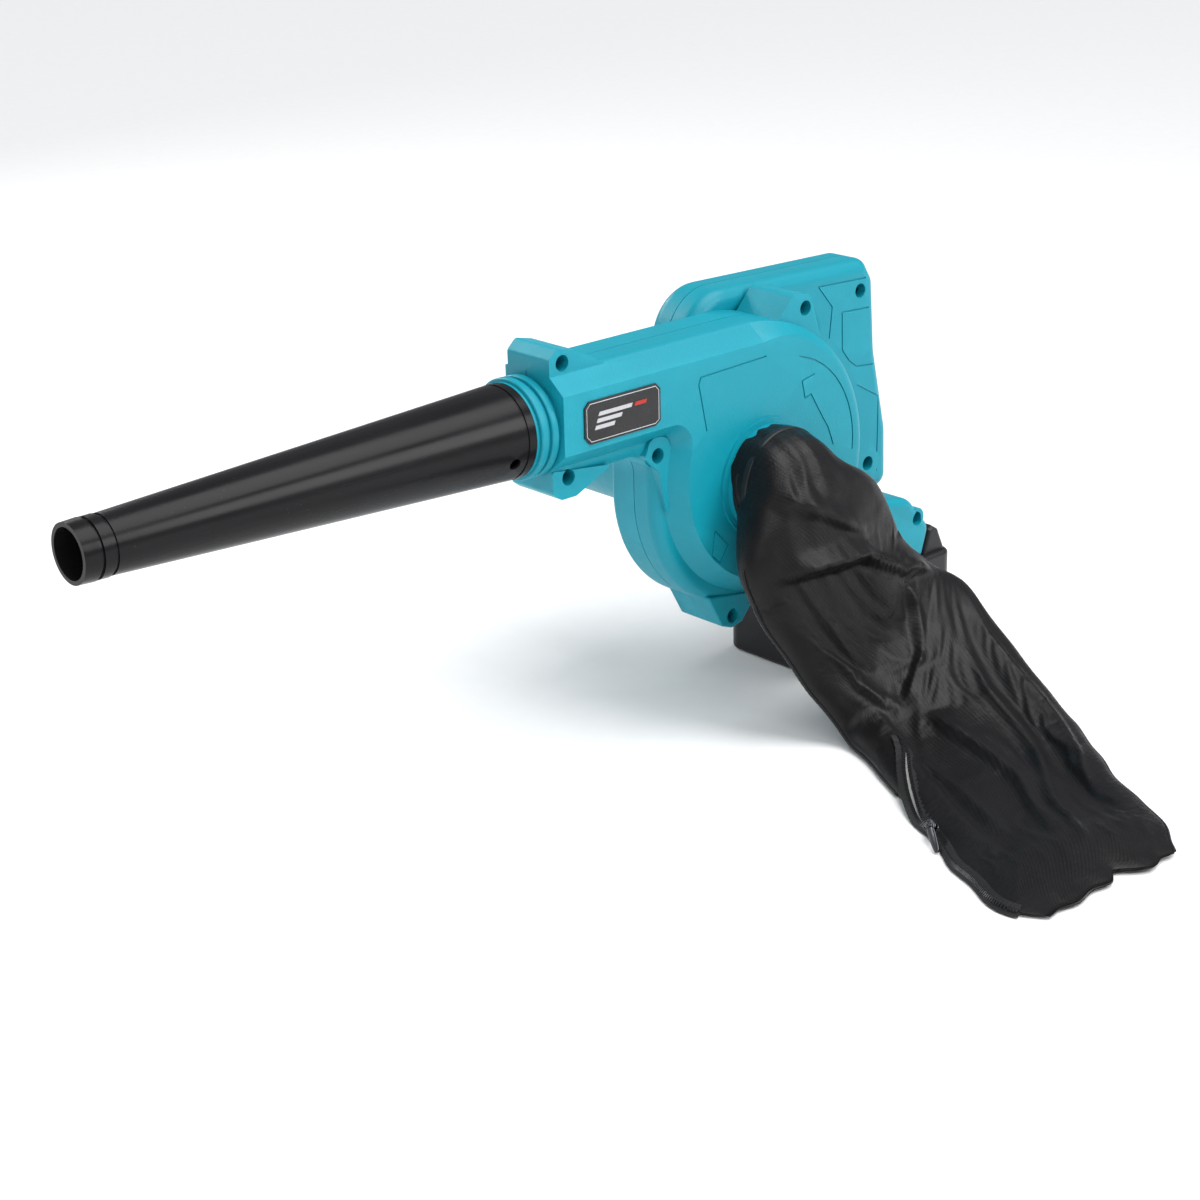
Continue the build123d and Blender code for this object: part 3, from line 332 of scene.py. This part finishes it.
def respace(line, other, count):
    """Two matched lines at even steps of their middle's length."""
    middle = [(a + b) / 2 for a, b in zip(line, other)]
    reach = [0.0]
    for a, b in zip(middle, middle[1:]):
        reach.append(reach[-1] + (b - a).length)
    out = []
    k = 0
    for i in range(count + 1):
        want = reach[-1] * i / count
        while k < len(reach) - 2 and reach[k + 1] < want:
            k += 1
        span = max(reach[k + 1] - reach[k], 1e-9)
        f = (want - reach[k]) / span
        out.append((line[k].lerp(line[k + 1], f), other[k].lerp(other[k + 1], f), want))
    return out


left_edge = [(-30.7, -34.2, 0), (-30.5, -42, -2), (-46, -56, -32), (-42, -64, -58), (-28, -74, -88),
             (-14, -86, -116), (-7, -100, -133), (-26, -140, -135), (-44, -175, -135),
             (-66, -215, -135), (-83, -248, -135), (-90, -272, -135), (-82, -288, -135)]
right_edge = [(30.7, -34.2, 0), (31, -42, 2), (54, -54, -8), (71, -60, -41), (90, -64, -62),
              (110, -76, -80), (109, -104, -98), (98, -150, -121), (87, -180, -131),
              (62, -220, -134), (36, -267, -134), (18, -287, -134), (10, -294, -134)]
thickness = [30.7, 29, 21, 15, 13, 13, 13, 10, 8.5, 7, 5, 3, 0.9]
# Folds as lines of (share of the half width, mm from the neck), with height, width and kind
folds = [
    ([(-1.0, 8), (-0.7, 15), (-0.1, 30), (0.40, 49)], 4.2, 8.0, "step"),
    ([(-0.75, 46), (-0.4, 51), (0.2, 58), (0.5, 78), (0.75, 92), (0.98, 112)], 8.5, 15.0, "step"),
    ([(0.55, 94), (0.38, 112), (0.10, 137), (-0.2, 153), (-0.45, 168)], 5.5, 9.0, "step"),
    ([(-0.62, 78), (-0.30, 96), (-0.05, 121)], 2.6, 7.0, "ridge"),
    ([(0.92, 120), (0.80, 160), (0.84, 210), (0.78, 262), (0.62, 300)], 3.6, 7.0, "ridge"),
    ([(-0.30, 172), (-0.12, 212), (0.05, 258), (-0.06, 318)], 4.6, 8.0, "step"),
    ([(0.52, 150), (0.40, 190), (0.42, 240), (0.20, 298), (0.14, 336)], 4.4, 7.5, "ridge"),
    ([(-0.62, 196), (-0.52, 244), (-0.42, 300)], 2.6, 6.0, "ridge"),
    ([(0.02, 205), (0.16, 236), (0.22, 280)], 2.4, 5.0, "ridge"),
    ([(-0.2, 128), (0.12, 158), (0.24, 200)], 2.8, 6.5, "ridge"),
]
ACROSS = 168       # quads round the bag
ALONG = 250        # quads along it
EDGE_STEPS = 240   # steps in which the two edges are first drawn


def along_table(table, f):
    t = f * (len(table) - 1)
    k = min(int(t), len(table) - 2)
    return table[k] + (table[k + 1] - table[k]) * (t - k)


def ridged(point):
    """Sharp-crested noise from 0 to 1, like creases in thin cloth."""
    return 1.0 - min(1.0, abs(noise.noise(point)) * 2.6)


def fold(distance, width):
    """Smooth bell of a fold across a distance."""
    return math.exp(-(distance / width) ** 2)


def fold_height(a_mm, s_mm, half_mm):
    """Height of the folds at a point of the front, in mm."""
    height = 0.0
    for line, tall, wide, kind in folds:
        if not line[0][1] - 3 * wide < s_mm < line[-1][1] + 3 * wide:
            continue
        near, side, share = 1e9, 1.0, 0.0
        for k in range(len(line) - 1):
            ax, ay = line[k][0] * half_mm, line[k][1]
            bx, by = line[k + 1][0] * half_mm, line[k + 1][1]
            dx, dy = bx - ax, by - ay
            t = max(0.0, min(1.0, ((a_mm - ax) * dx + (s_mm - ay) * dy) / (dx * dx + dy * dy)))
            px, py = a_mm - ax - t * dx, s_mm - ay - t * dy
            gap = math.hypot(px, py)
            if gap < near:
                near, share = gap, (k + t) / (len(line) - 1)
                side = 1.0 if dx * py - dy * px > 0 else -1.0
        fade = min(1.0, share * 5 + 0.15, (1 - share) * 5 + 0.15)
        reach = wide * (0.75 + 0.5 * noise.noise(Vector((share * 3, tall, wide))))
        if kind == "step" and side > 0:
            shape = 1.3 * math.exp(-(near / (reach * 0.42)) ** 2) - 0.3 * math.exp(-(near / reach) ** 2)
        elif kind == "step":
            shape = math.exp(-(near / reach) ** 2)
        else:
            shape = math.exp(-abs(near / (reach * 0.62)) ** 1.35)
        height += tall * fade * shape
    return height


def bag_shell():
    """Closed tube of the limp bag: its verts, faces and cloth uvs, in metres."""
    left = smooth_line([at(*p) for p in left_edge], EDGE_STEPS)
    right = smooth_line([at(*p) for p in right_edge], EDGE_STEPS)
    rows = respace(left, right, ALONG)
    total = rows[-1][2]
    table_place = []
    middle = [(a + b) / 2 for a, b in zip(left, right)]
    reach = [0.0]
    for a, b in zip(middle, middle[1:]):
        reach.append(reach[-1] + (b - a).length)
    for row in rows:
        k = min(range(len(reach)), key=lambda i: abs(reach[i] - row[2]))
        table_place.append(k / EDGE_STEPS)
    verts, uvs = [], []
    for i, (l, r, s) in enumerate(rows):
        after, before = rows[min(i + 1, ALONG)], rows[max(i - 1, 0)]
        path = ((after[0] + after[1]) - (before[0] + before[1])).normalized()
        across = (r - l) / 2
        half = across.length
        across = across.normalized()
        normal = across.cross(path).normalized()
        if normal.dot(Vector((-0.3, -0.8, 0.6))) < 0:
            normal = -normal
        center = (l + r) / 2
        thick = along_table(thickness, table_place[i]) * MM
        ring_in = max(0.0, 1 - s / 0.012)
        for k in range(ACROSS):
            angle = 2 * math.pi * k / ACROSS
            c, n = math.cos(angle), math.sin(angle)
            front = n >= 0
            a_mm = c * half / MM
            s_mm = s / MM
            rise = math.copysign(abs(n) ** (1.0 - 0.2 * min(1.0, s_mm / 60)), n) * thick
            # gathers that fan out from the band
            edge_fade = min(1.0, (1 - abs(c)) * 4 + 0.15)
            gather_env = fold(s_mm - 16, 34) * (1 - ring_in) * 0.55
            uneven = 0.5 + noise.noise(Vector((math.cos(angle) * 1.7, math.sin(angle) * 1.7, 5.0)))
            gather = (math.sin(angle * 11 + 3.0 * math.sin(angle * 3 + 1.0)) * 1.0
                      + math.sin(angle * 17 + 1.7 + s_mm * 0.03) * 0.4) * uneven * gather_env
            # creases along the cloth, wandering, and smaller ones across it
            wander = noise.noise(Vector((a_mm * 0.015, s_mm * 0.010, 3.0))) * 26
            long_crease = ridged(Vector(((a_mm + wander) * 0.034, s_mm * 0.0075, 7.0 if front else 11.0)))
            small = ridged(Vector(((a_mm + wander * 0.6) * 0.075, s_mm * 0.021, 19.0 if front else 23.0)))
            soft = noise.noise(Vector((a_mm * 0.022, s_mm * 0.016, 31.0 if front else 37.0)))
            env = min(1.0, max(0.0, (s_mm - 22) / 45))
            end = min(1.0, max(0.0, (total / MM - s_mm) / 26))
            crease = (long_crease ** 3 * 0.9 + small ** 3 * 0.7 + soft * 3.4) * env * (0.35 + 0.65 * end)
            drop = fold_height(a_mm, s_mm, half / MM) * (0.75 + 0.25 * end)
            lift = (crease + gather + (drop if front else 0.25 * drop)) * MM
            pull = (1 - abs(c) ** 6)
            edge_wave = (noise.noise(Vector((s_mm * 0.035, 5.0 if c > 0 else 9.0, 0))) * 2.4
                         + noise.noise(Vector((s_mm * 0.012, 15.0 if c > 0 else 19.0, 0))) * 3.0)
            side_shift = across * math.copysign(abs(c) ** 5, c) * edge_wave * env * MM
            bend = normal * (rise + lift * abs(n) ** 0.35 * pull * edge_fade)
            notch = fold(a_mm - 12, 7) * 5.0
            ragged = (1 - end) ** 2 * (noise.noise(Vector((a_mm * 0.055, 61.0, 0))) * 7.0 - notch)
            point = center + across * half * c + bend + side_shift + path * ragged * MM
            lowest = 1.4
            if not front:
                lowest = 0.9 + 1.2 * max(0.0, noise.noise(Vector((a_mm * 0.05, s_mm * 0.04, 51.0))))
            point.z = max(point.z, lowest * MM)
            verts.append(point)
            flat_u = (k / ACROSS if k <= ACROSS // 2 else 1 - k / ACROSS) * 2 * half
            uvs.append((flat_u if front else -flat_u, s))
    faces = []
    for i in range(ALONG):
        for k in range(ACROSS):
            m = (k + 1) % ACROSS
            faces.append((i * ACROSS + k, i * ACROSS + m, (i + 1) * ACROSS + m, (i + 1) * ACROSS + k))
    # end seam: a ladder of faces from the upper layer to the lower one
    end_ring = [ALONG * ACROSS + k for k in range(ACROSS)] + [ALONG * ACROSS]
    for k in range(ACROSS // 2):
        corners = (end_ring[k + 1], end_ring[k], end_ring[ACROSS - k], end_ring[ACROSS - k - 1])
        faces.append(tuple(dict.fromkeys(corners)))
    return verts, faces, uvs


def cloth_material():
    """Thin black nylon: plain weave and a soft sheen along the folds."""
    s = Shader("bag_cloth", (0.0060, 0.0058, 0.0066), 0.42)
    uv = s.node("ShaderNodeUVMap", uv_map="cloth").outputs["UV"]
    warp = s.wave(420.0, "X", uv)
    weft = s.wave(420.0, "Y", uv)
    weave = s.math("MULTIPLY", warp, weft)
    cloud = s.noise(26.0, 5.0)
    tone = s.mix(cloud, (0.0030, 0.0029, 0.0034, 1), (0.0075, 0.0072, 0.0080, 1))
    s.link(s.mix(s.math("MULTIPLY", weave, 0.5), tone, (0.012, 0.012, 0.013, 1)), s.bsdf.inputs["Base Color"])
    s.link(s.remap(s.noise(90.0, 4.0), 0.3, 0.7, 0.33, 0.46), s.bsdf.inputs["Roughness"])
    crinkle = s.noise(240.0, 5.0, distortion=0.6)
    first = s.bump(crinkle, 0.18, 0.0010)
    s.link(s.bump(weave, 0.22, 0.0003, first), s.bsdf.inputs["Normal"])
    s.set("Specular IOR Level", 0.22)
    s.set("Sheen Weight", 0.02)
    s.set("Sheen Roughness", 0.35)
    s.set("Sheen Tint", (0.75, 0.78, 0.85, 1))
    s.set("Anisotropic", 0.25)
    return s.material


bag_cloth = cloth_material()
bag_verts, bag_faces, bag_uvs = bag_shell()
bag = piece_from("dust_bag_cloth", bag_verts, bag_faces, bag_cloth, None)
layer = bag.data.uv_layers.new(name="cloth")
for loop in bag.data.loops:
    layer.data[loop.index].uv = bag_uvs[loop.vertex_index]
CLOTH_THICKNESS = 0.5 * MM
NECK_ROWS = 26         # rows held by the band
FREE_ROW = 46          # first row that is free of the neck
END_ROWS = 40          # rows held more and more towards the end seam
EDGE_QUADS = 26        # quads held more and more towards a side edge
GROUND_GAP = 0.7 * MM


def settle(piece, frames=12, cap=5 * MM):
    """Lets the cloth relax on the ground under a little air pressure, within a cap."""
    start = [v.co.copy() for v in piece.data.vertices]
    neck = piece.vertex_groups.new(name="neck")
    neck.add(list(range(ACROSS * NECK_ROWS)), 1.0, "REPLACE")
    for row in range(NECK_ROWS, FREE_ROW):
        weight = 1 - (row - NECK_ROWS) / (FREE_ROW - NECK_ROWS)
        neck.add(list(range(row * ACROSS, (row + 1) * ACROSS)), weight, "REPLACE")
    # the flat side edges and the end stay nearly where they lie
    for row in range(FREE_ROW, ALONG + 1):
        held = max(0.0, 1 - (ALONG - row) / END_ROWS)
        for k in range(ACROSS):
            from_edge = min(k % (ACROSS // 2), (ACROSS - k) % (ACROSS // 2))
            weight = max(held, 1 - from_edge / EDGE_QUADS)
            if weight > 0:
                neck.add([row * ACROSS + k], weight, "REPLACE")
    ground = piece_from("ground_stop", [(-0.6, -0.6, 0), (0.4, -0.6, 0), (0.4, 0.3, 0), (-0.6, 0.3, 0)],
                        [(0, 1, 2, 3)], bag_cloth, None)
    ground.modifiers.new("stop", "COLLISION")
    ground.collision.thickness_outer = 0.0008
    cloth = piece.modifiers.new("cloth", "CLOTH")
    settings = cloth.settings
    settings.quality = 6
    settings.mass = 0.06
    settings.tension_stiffness = 18
    settings.compression_stiffness = 18
    settings.shear_stiffness = 6
    settings.bending_stiffness = 0.12
    settings.use_pressure = True
    settings.uniform_pressure_force = 0.15
    settings.vertex_group_mass = "neck"
    settings.shrink_min = -0.012
    cloth.collision_settings.use_collision = True
    cloth.collision_settings.distance_min = 0.0006
    cloth.collision_settings.use_self_collision = False
    settings.effector_weights.gravity = 0.6
    cloth.point_cache.frame_start = 1
    cloth.point_cache.frame_end = frames
    scene = bpy.context.scene
    scene.frame_start, scene.frame_end = 1, frames
    for number in range(1, frames + 1):
        scene.frame_set(number)
    result = piece.evaluated_get(bpy.context.evaluated_depsgraph_get())
    moved = [v.co.copy() for v in result.data.vertices]
    piece.modifiers.remove(cloth)
    scene.frame_set(1)
    bpy.data.objects.remove(ground)
    for vertex, a, b in zip(piece.data.vertices, start, moved):
        step = b - a
        if step.length > cap:
            step = step.normalized() * cap
        vertex.co = a + step
        vertex.co.z = max(vertex.co.z, GROUND_GAP)
    piece.data.update()


relax = bag.modifiers.new("relax", "SMOOTH")
relax.factor = 0.5
relax.iterations = 3
smoothed = bag.evaluated_get(bpy.context.evaluated_depsgraph_get())
eased = [v.co.copy() for v in smoothed.data.vertices]
bag.modifiers.remove(relax)
for vertex, co in zip(list(bag.data.vertices)[:ALONG * ACROSS], eased):
    vertex.co = co
bag.data.update()
settle(bag)

shell = bag.modifiers.new("thickness", "SOLIDIFY")
shell.thickness = CLOTH_THICKNESS
shell.offset = -1
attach(bag, "dust_bag")
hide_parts("dust_bag")


def bag_point(row, k, out=0.0):
    """Point of the finished cloth, moved outward along its normal."""
    vertex = bag.data.vertices[row * ACROSS + k % ACROSS]
    return vertex.co + vertex.normal * out


# piping along the two side seams
seam_cloth = moulded("seam_cloth", (0.012, 0.012, 0.013), 0.6, grain=0.4, grain_scale=900.0)
half_turn = ACROSS // 2
right_seam = [bag_point(row, 0, 0.0002) for row in range(24, ALONG - 1)]
left_seam = [bag_point(row, half_turn, 0.0002) for row in range(24, 150)]
verts, faces = join_parts([tube_along(right_seam, 0.0009), tube_along(left_seam, 0.0009)])
piece_from("bag_side_seams", verts, faces, seam_cloth, "dust_bag")


# zip along the lower part of the left edge
ZIP_TOP = 124          # row of the zip's upper end
ZIP_TURN = 58.0        # rows over which it bends to the side edge
ZIP_SHIFT = 22         # quads from the side edge at its upper end
zip_rows = list(range(ZIP_TOP, ALONG - 3))
OPEN_TO = 182          # row of the slider: the zip is open above it


def zip_column(row):
    """Column of the zip at a row: on the front at its top, on the left edge lower down."""
    t = max(0.0, min(1.0, (row - ZIP_TOP) / ZIP_TURN))
    return half_turn - round(ZIP_SHIFT * (1 - t * t * (3 - 2 * t)))


def zip_gap(row):
    """Half opening of the zip at a row, in metres."""
    if row >= OPEN_TO:
        return 0.0
    t = (row - zip_rows[0]) / (OPEN_TO - zip_rows[0])
    return math.sin(math.pi * min(1.0, t)) ** 0.8 * 1.3 * MM


def zip_line(row):
    """Point of the zip's middle line, between rows too."""
    low = int(math.floor(row))
    a = bag_point(low, zip_column(low))
    b = bag_point(min(low + 1, ALONG), zip_column(low + 1))
    return a.lerp(b, row - low)


def zip_frame(row):
    """Middle, ahead, outward and sideways directions of the zip at a row."""
    window = range(max(zip_rows[0] - 6, int(row) - 5), min(ALONG - 2, int(row) + 6))
    middle = sum((bag_point(k, zip_column(k)) for k in window), Vector()) / len(window)
    beside = [k * ACROSS + (zip_column(k) - 2) % ACROSS for k in window]
    lean = sum((bag.data.vertices[i].normal for i in beside), Vector())
    lean = (lean.normalized() + Vector((0, 0, 0.35))).normalized()
    ahead = (zip_line(min(row + 4, ALONG - 2)) - zip_line(row - 4)).normalized()
    lean = (lean - ahead * lean.dot(ahead)).normalized()
    over = ahead.cross(lean).normalized()
    return middle * 0.6 + zip_line(row) * 0.4 + lean * 0.9 * MM, ahead, lean, over


tape_parts, tooth_parts = [], []
for sign in (-1, 1):
    strip = []
    for row in zip_rows:
        middle, ahead, lean, over = zip_frame(row)
        gap = zip_gap(row)
        inner = middle + over * sign * (gap + 0.5 * MM)
        outer = middle + over * sign * (gap + 4.2 * MM) - lean * 1.1 * MM
        for p in (inner, outer, outer - lean * 0.5 * MM, inner - lean * 0.5 * MM):
            p.z = max(p.z, 0.6 * MM)
            strip.append(p)
    faces = []
    for i in range(len(zip_rows) - 1):
        for k in range(4):
            m = (k + 1) % 4
            faces.append((i * 4 + k, i * 4 + m, i * 4 + 4 + m, i * 4 + 4 + k))
    faces.append((3, 2, 1, 0))
    last = (len(zip_rows) - 1) * 4
    faces.append((last, last + 1, last + 2, last + 3))
    tape_parts.append((strip, faces))
    for i, row in enumerate(zip_rows[:-1]):
        for step in (0.0, 0.5):
            shift = step + (0.25 if sign > 0 else 0.0)
            center, ahead, lean, over = zip_frame(row + shift)
            center = center + over * sign * (zip_gap(row + shift) + 0.25 * MM) + lean * 0.35 * MM
            center.z = max(center.z, 1.0 * MM)
            tooth_parts.append(block(center, (ahead, over, lean), (0.26 * MM, 0.85 * MM, 0.45 * MM)))
verts, faces = join_parts(tape_parts)
piece_from("bag_zip_tapes", verts, faces, seam_cloth, "dust_bag", smooth=False)
verts, faces = join_parts(tooth_parts)
zip_nylon = moulded("zip_nylon", (0.016, 0.016, 0.018), 0.35, grain=0.05)
piece_from("bag_zip_teeth", verts, faces, zip_nylon, "dust_bag", smooth=False)

# pale grey strip set inside the open stretch of the zip, lighter than the cloth
gap_strip_verts, gap_strip_faces = [], []
for row in range(zip_rows[0] + 2, OPEN_TO - 1):
    center, ahead, lean, over = zip_frame(row)
    half_gap = zip_gap(row) + 0.5 * MM
    for sign, sink in ((-1, 0.35), (1, 0.35), (1, 0.75), (-1, 0.75)):
        gap_strip_verts.append(center + over * sign * half_gap - lean * sink * MM)
rings = len(gap_strip_verts) // 4
for i in range(rings - 1):
    for k in range(4):
        m = (k + 1) % 4
        gap_strip_faces.append((i * 4 + k, i * 4 + m, i * 4 + 4 + m, i * 4 + 4 + k))
gap_strip_faces.append((3, 2, 1, 0))
gap_strip_faces.append(tuple((rings - 1) * 4 + k for k in range(4)))
gap_strip_grey = moulded("gap_strip_grey", (0.30, 0.30, 0.29), 0.6, grain=0.3)
piece_from("bag_zip_gap_strip", gap_strip_verts, gap_strip_faces, gap_strip_grey, "dust_bag", smooth=False)

# zip slider with its pull
middle, ahead, lean, over = zip_frame(OPEN_TO)
zinc = metal("zip_zinc", (0.09, 0.09, 0.10), 0.32)


RIM = 28               # points round a lozenge


def lozenge(center, axes, half, taper):
    """Rounded plate that narrows towards one end, as verts and faces."""
    outline = []
    for i in range(RIM):
        angle = 2 * math.pi * i / RIM
        c, n = math.cos(angle), math.sin(angle)
        x = math.copysign(abs(c) ** 0.6, c)
        y = math.copysign(abs(n) ** 0.6, n) * (1 - taper * (x * 0.5 + 0.5))
        outline.append((x, y))
    verts, faces = [], []
    for level, scale in ((-1, 0.86), (-0.55, 1.0), (0.55, 1.0), (1, 0.86)):
        for x, y in outline:
            verts.append(center + axes[0] * x * half[0] * scale + axes[1] * y * half[1] * scale
                         + axes[2] * level * half[2])
    for ring in range(3):
        for i in range(RIM):
            m = (i + 1) % RIM
            faces.append((ring * RIM + i, ring * RIM + m, (ring + 1) * RIM + m, (ring + 1) * RIM + i))
    faces.append(tuple(reversed(range(RIM))))
    faces.append(tuple(range(3 * RIM, 4 * RIM)))
    return verts, faces


slider_at = middle + lean * 1.6 * MM
slider_parts = [
    lozenge(slider_at + lean * 0.9 * MM, (ahead, over, lean), (4.2 * MM, 3.0 * MM, 0.5 * MM), 0.3),
    lozenge(slider_at - lean * 1.1 * MM, (ahead, over, lean), (4.2 * MM, 3.0 * MM, 0.4 * MM), 0.3),
    block(slider_at - ahead * 2.2 * MM, (ahead, over, lean), (0.9 * MM, 0.6 * MM, 1.2 * MM)),
]
bridge = [slider_at + ahead * (-2.6 + 5.2 * t) * MM + lean * (1.3 + 1.7 * math.sin(math.pi * t)) * MM
          for t in [i / 10 for i in range(11)]]
slider_parts.append(tube_along(bridge, 0.45 * MM))
slider_verts, slider_faces = join_parts(slider_parts)
pull_dir = (ahead * 0.75 - Vector((0, 0, 0.35)) + over * 0.15).normalized()
pull_side = pull_dir.cross(lean).normalized()
pull_up = pull_side.cross(pull_dir).normalized()
pull_start = slider_at + lean * 2.4 * MM
pull_axes = (pull_dir, pull_side, pull_up)
pull_parts = [lozenge(pull_start + pull_dir * 9.5 * MM, pull_axes, (7.5 * MM, 2.6 * MM, 0.5 * MM), 0.35)]
loop_points = [pull_start + pull_dir * (1.6 + 1.9 * math.cos(a)) * MM + pull_side * 1.5 * math.sin(a) * MM
               for a in [2 * math.pi * i / 16 for i in range(16)]]
pull_parts.append(tube_along(loop_points, 0.35 * MM, 6, closed=True))
pull_verts, pull_faces = join_parts(pull_parts)
# both are lifted off the floor together
rise = Vector((0, 0, max(0.0, 0.4 * MM - min(v.z for v in slider_verts + pull_verts))))
piece_from("zip_slider", [v + rise for v in slider_verts], slider_faces, zinc, "dust_bag")
piece_from("zip_pull", [v + rise for v in pull_verts], pull_faces, zinc, "dust_bag")


# ---------------------------------------------------------------- plain badge on the label plate
LABEL_FACE = -28.8     # depth of the label plate's face, in mm
BAR_RISE = 0.25
BAR_TALL = 2.0
BAR_SLANT = 0.9


def flat_bar(x_low, x_high, z_low):
    """Slanted raised bar on the label plate."""
    z_high = z_low + BAR_TALL
    corners = [(x_low, z_low), (x_high, z_low), (x_high + BAR_SLANT, z_high), (x_low + BAR_SLANT, z_high)]
    verts = [at(x, depth, z) for depth in (LABEL_FACE, LABEL_FACE - BAR_RISE) for x, z in corners]
    faces = [(0, 1, 2, 3), (7, 6, 5, 4), (0, 4, 5, 1), (1, 5, 6, 2), (2, 6, 7, 3), (3, 7, 4, 0)]
    return verts, faces


silver_ink = moulded("silver_ink", (0.50, 0.50, 0.52), 0.35, grain=0.03)
red_ink = moulded("red_ink", (0.45, 0.03, 0.02), 0.35, grain=0.03)
rule_points = [(-128.2, 51.6), (-125.4, 48.5), (-81.4, 48.5), (-78.8, 50.2), (-78.8, 65.9), (-81.1, 68.2),
               (-125.9, 68.2), (-128.2, 65.9)]
rule = [at(x, LABEL_FACE - 0.06, z) for x, z in rule_points]
verts, faces = tube_along(rule, 0.22 * MM, 6, closed=True)
piece_from("label_rule", verts, faces, silver_ink, "housing")
bars = [flat_bar(-120.5, -98, 61.0), flat_bar(-121.8, -105, 57.6), flat_bar(-123.1, -110, 54.2)]
verts, faces = join_parts(bars)
piece_from("label_bars", verts, faces, silver_ink, "housing", smooth=False)
verts, faces = flat_bar(-96.0, -88.0, 61.0)
piece_from("label_accent", verts, faces, red_ink, "housing", smooth=False)


# ---------------------------------------------------------------- floor and light
def floor_material():
    s = Shader("floor_paper", (0.86, 0.86, 0.86), 0.9)
    grain = s.noise(60.0, 4.0)
    s.link(s.mix(grain, (0.84, 0.84, 0.84, 1), (0.88, 0.88, 0.88, 1)), s.bsdf.inputs["Base Color"])
    return s.material


FLOOR_HALF = 12.0
FLOOR_DROP = 0.0002    # keeps the floor just under the part
signs = ((-1, -1), (1, -1), (1, 1), (-1, 1))
floor_corners = [(x * FLOOR_HALF, y * FLOOR_HALF, -FLOOR_DROP) for x, y in signs]
floor = piece_from("floor", floor_corners, [(0, 1, 2, 3)], floor_material(), None)

world = bpy.data.worlds.new("studio")
bpy.context.scene.world = world
world.use_nodes = True
background = world.node_tree.nodes["Background"]
background.inputs["Color"].default_value = (0.93, 0.96, 1.0, 1)
background.inputs["Strength"].default_value = 0.25


def softbox(name, location, target, width, height, power):
    """Area light that faces a target."""
    light = bpy.data.lights.new(name, "AREA")
    light.shape = "RECTANGLE"
    light.size, light.size_y = width, height
    light.energy = power
    lamp = bpy.data.objects.new(name, light)
    lamp.location = location
    lamp.rotation_mode = "QUATERNION"
    lamp.rotation_quaternion = (Vector(target) - Vector(location)).to_track_quat("-Z", "Y")
    bpy.context.scene.collection.objects.link(lamp)


softbox("left_box", (-1.5, -0.5, 0.9), (-0.2, -0.05, 0.15), 0.8, 1.2, 0.8)
softbox("right_box", (0.5, -1.4, 0.9), (-0.15, -0.1, 0.12), 0.9, 0.7, 13)
softbox("strip_box", (-0.9, -0.9, 1.2), (-0.4, 0, 0.17), 1.1, 0.25, 6)
softbox("rim_box", (-0.5, 1.3, 0.9), (-0.3, 0, 0.2), 1.4, 0.3, 14)
sky = bpy.data.objects.new("overhead", bpy.data.lights.new("overhead", "SUN"))
sky.data.energy = 2.6
sky.data.angle = math.radians(50)
sky.rotation_mode = "QUATERNION"
sky.rotation_quaternion = Vector((-0.25, 0.30, -1.0)).to_track_quat("-Z", "Y")
bpy.context.scene.collection.objects.link(sky)
bpy.context.scene.view_settings.view_transform = "Standard"
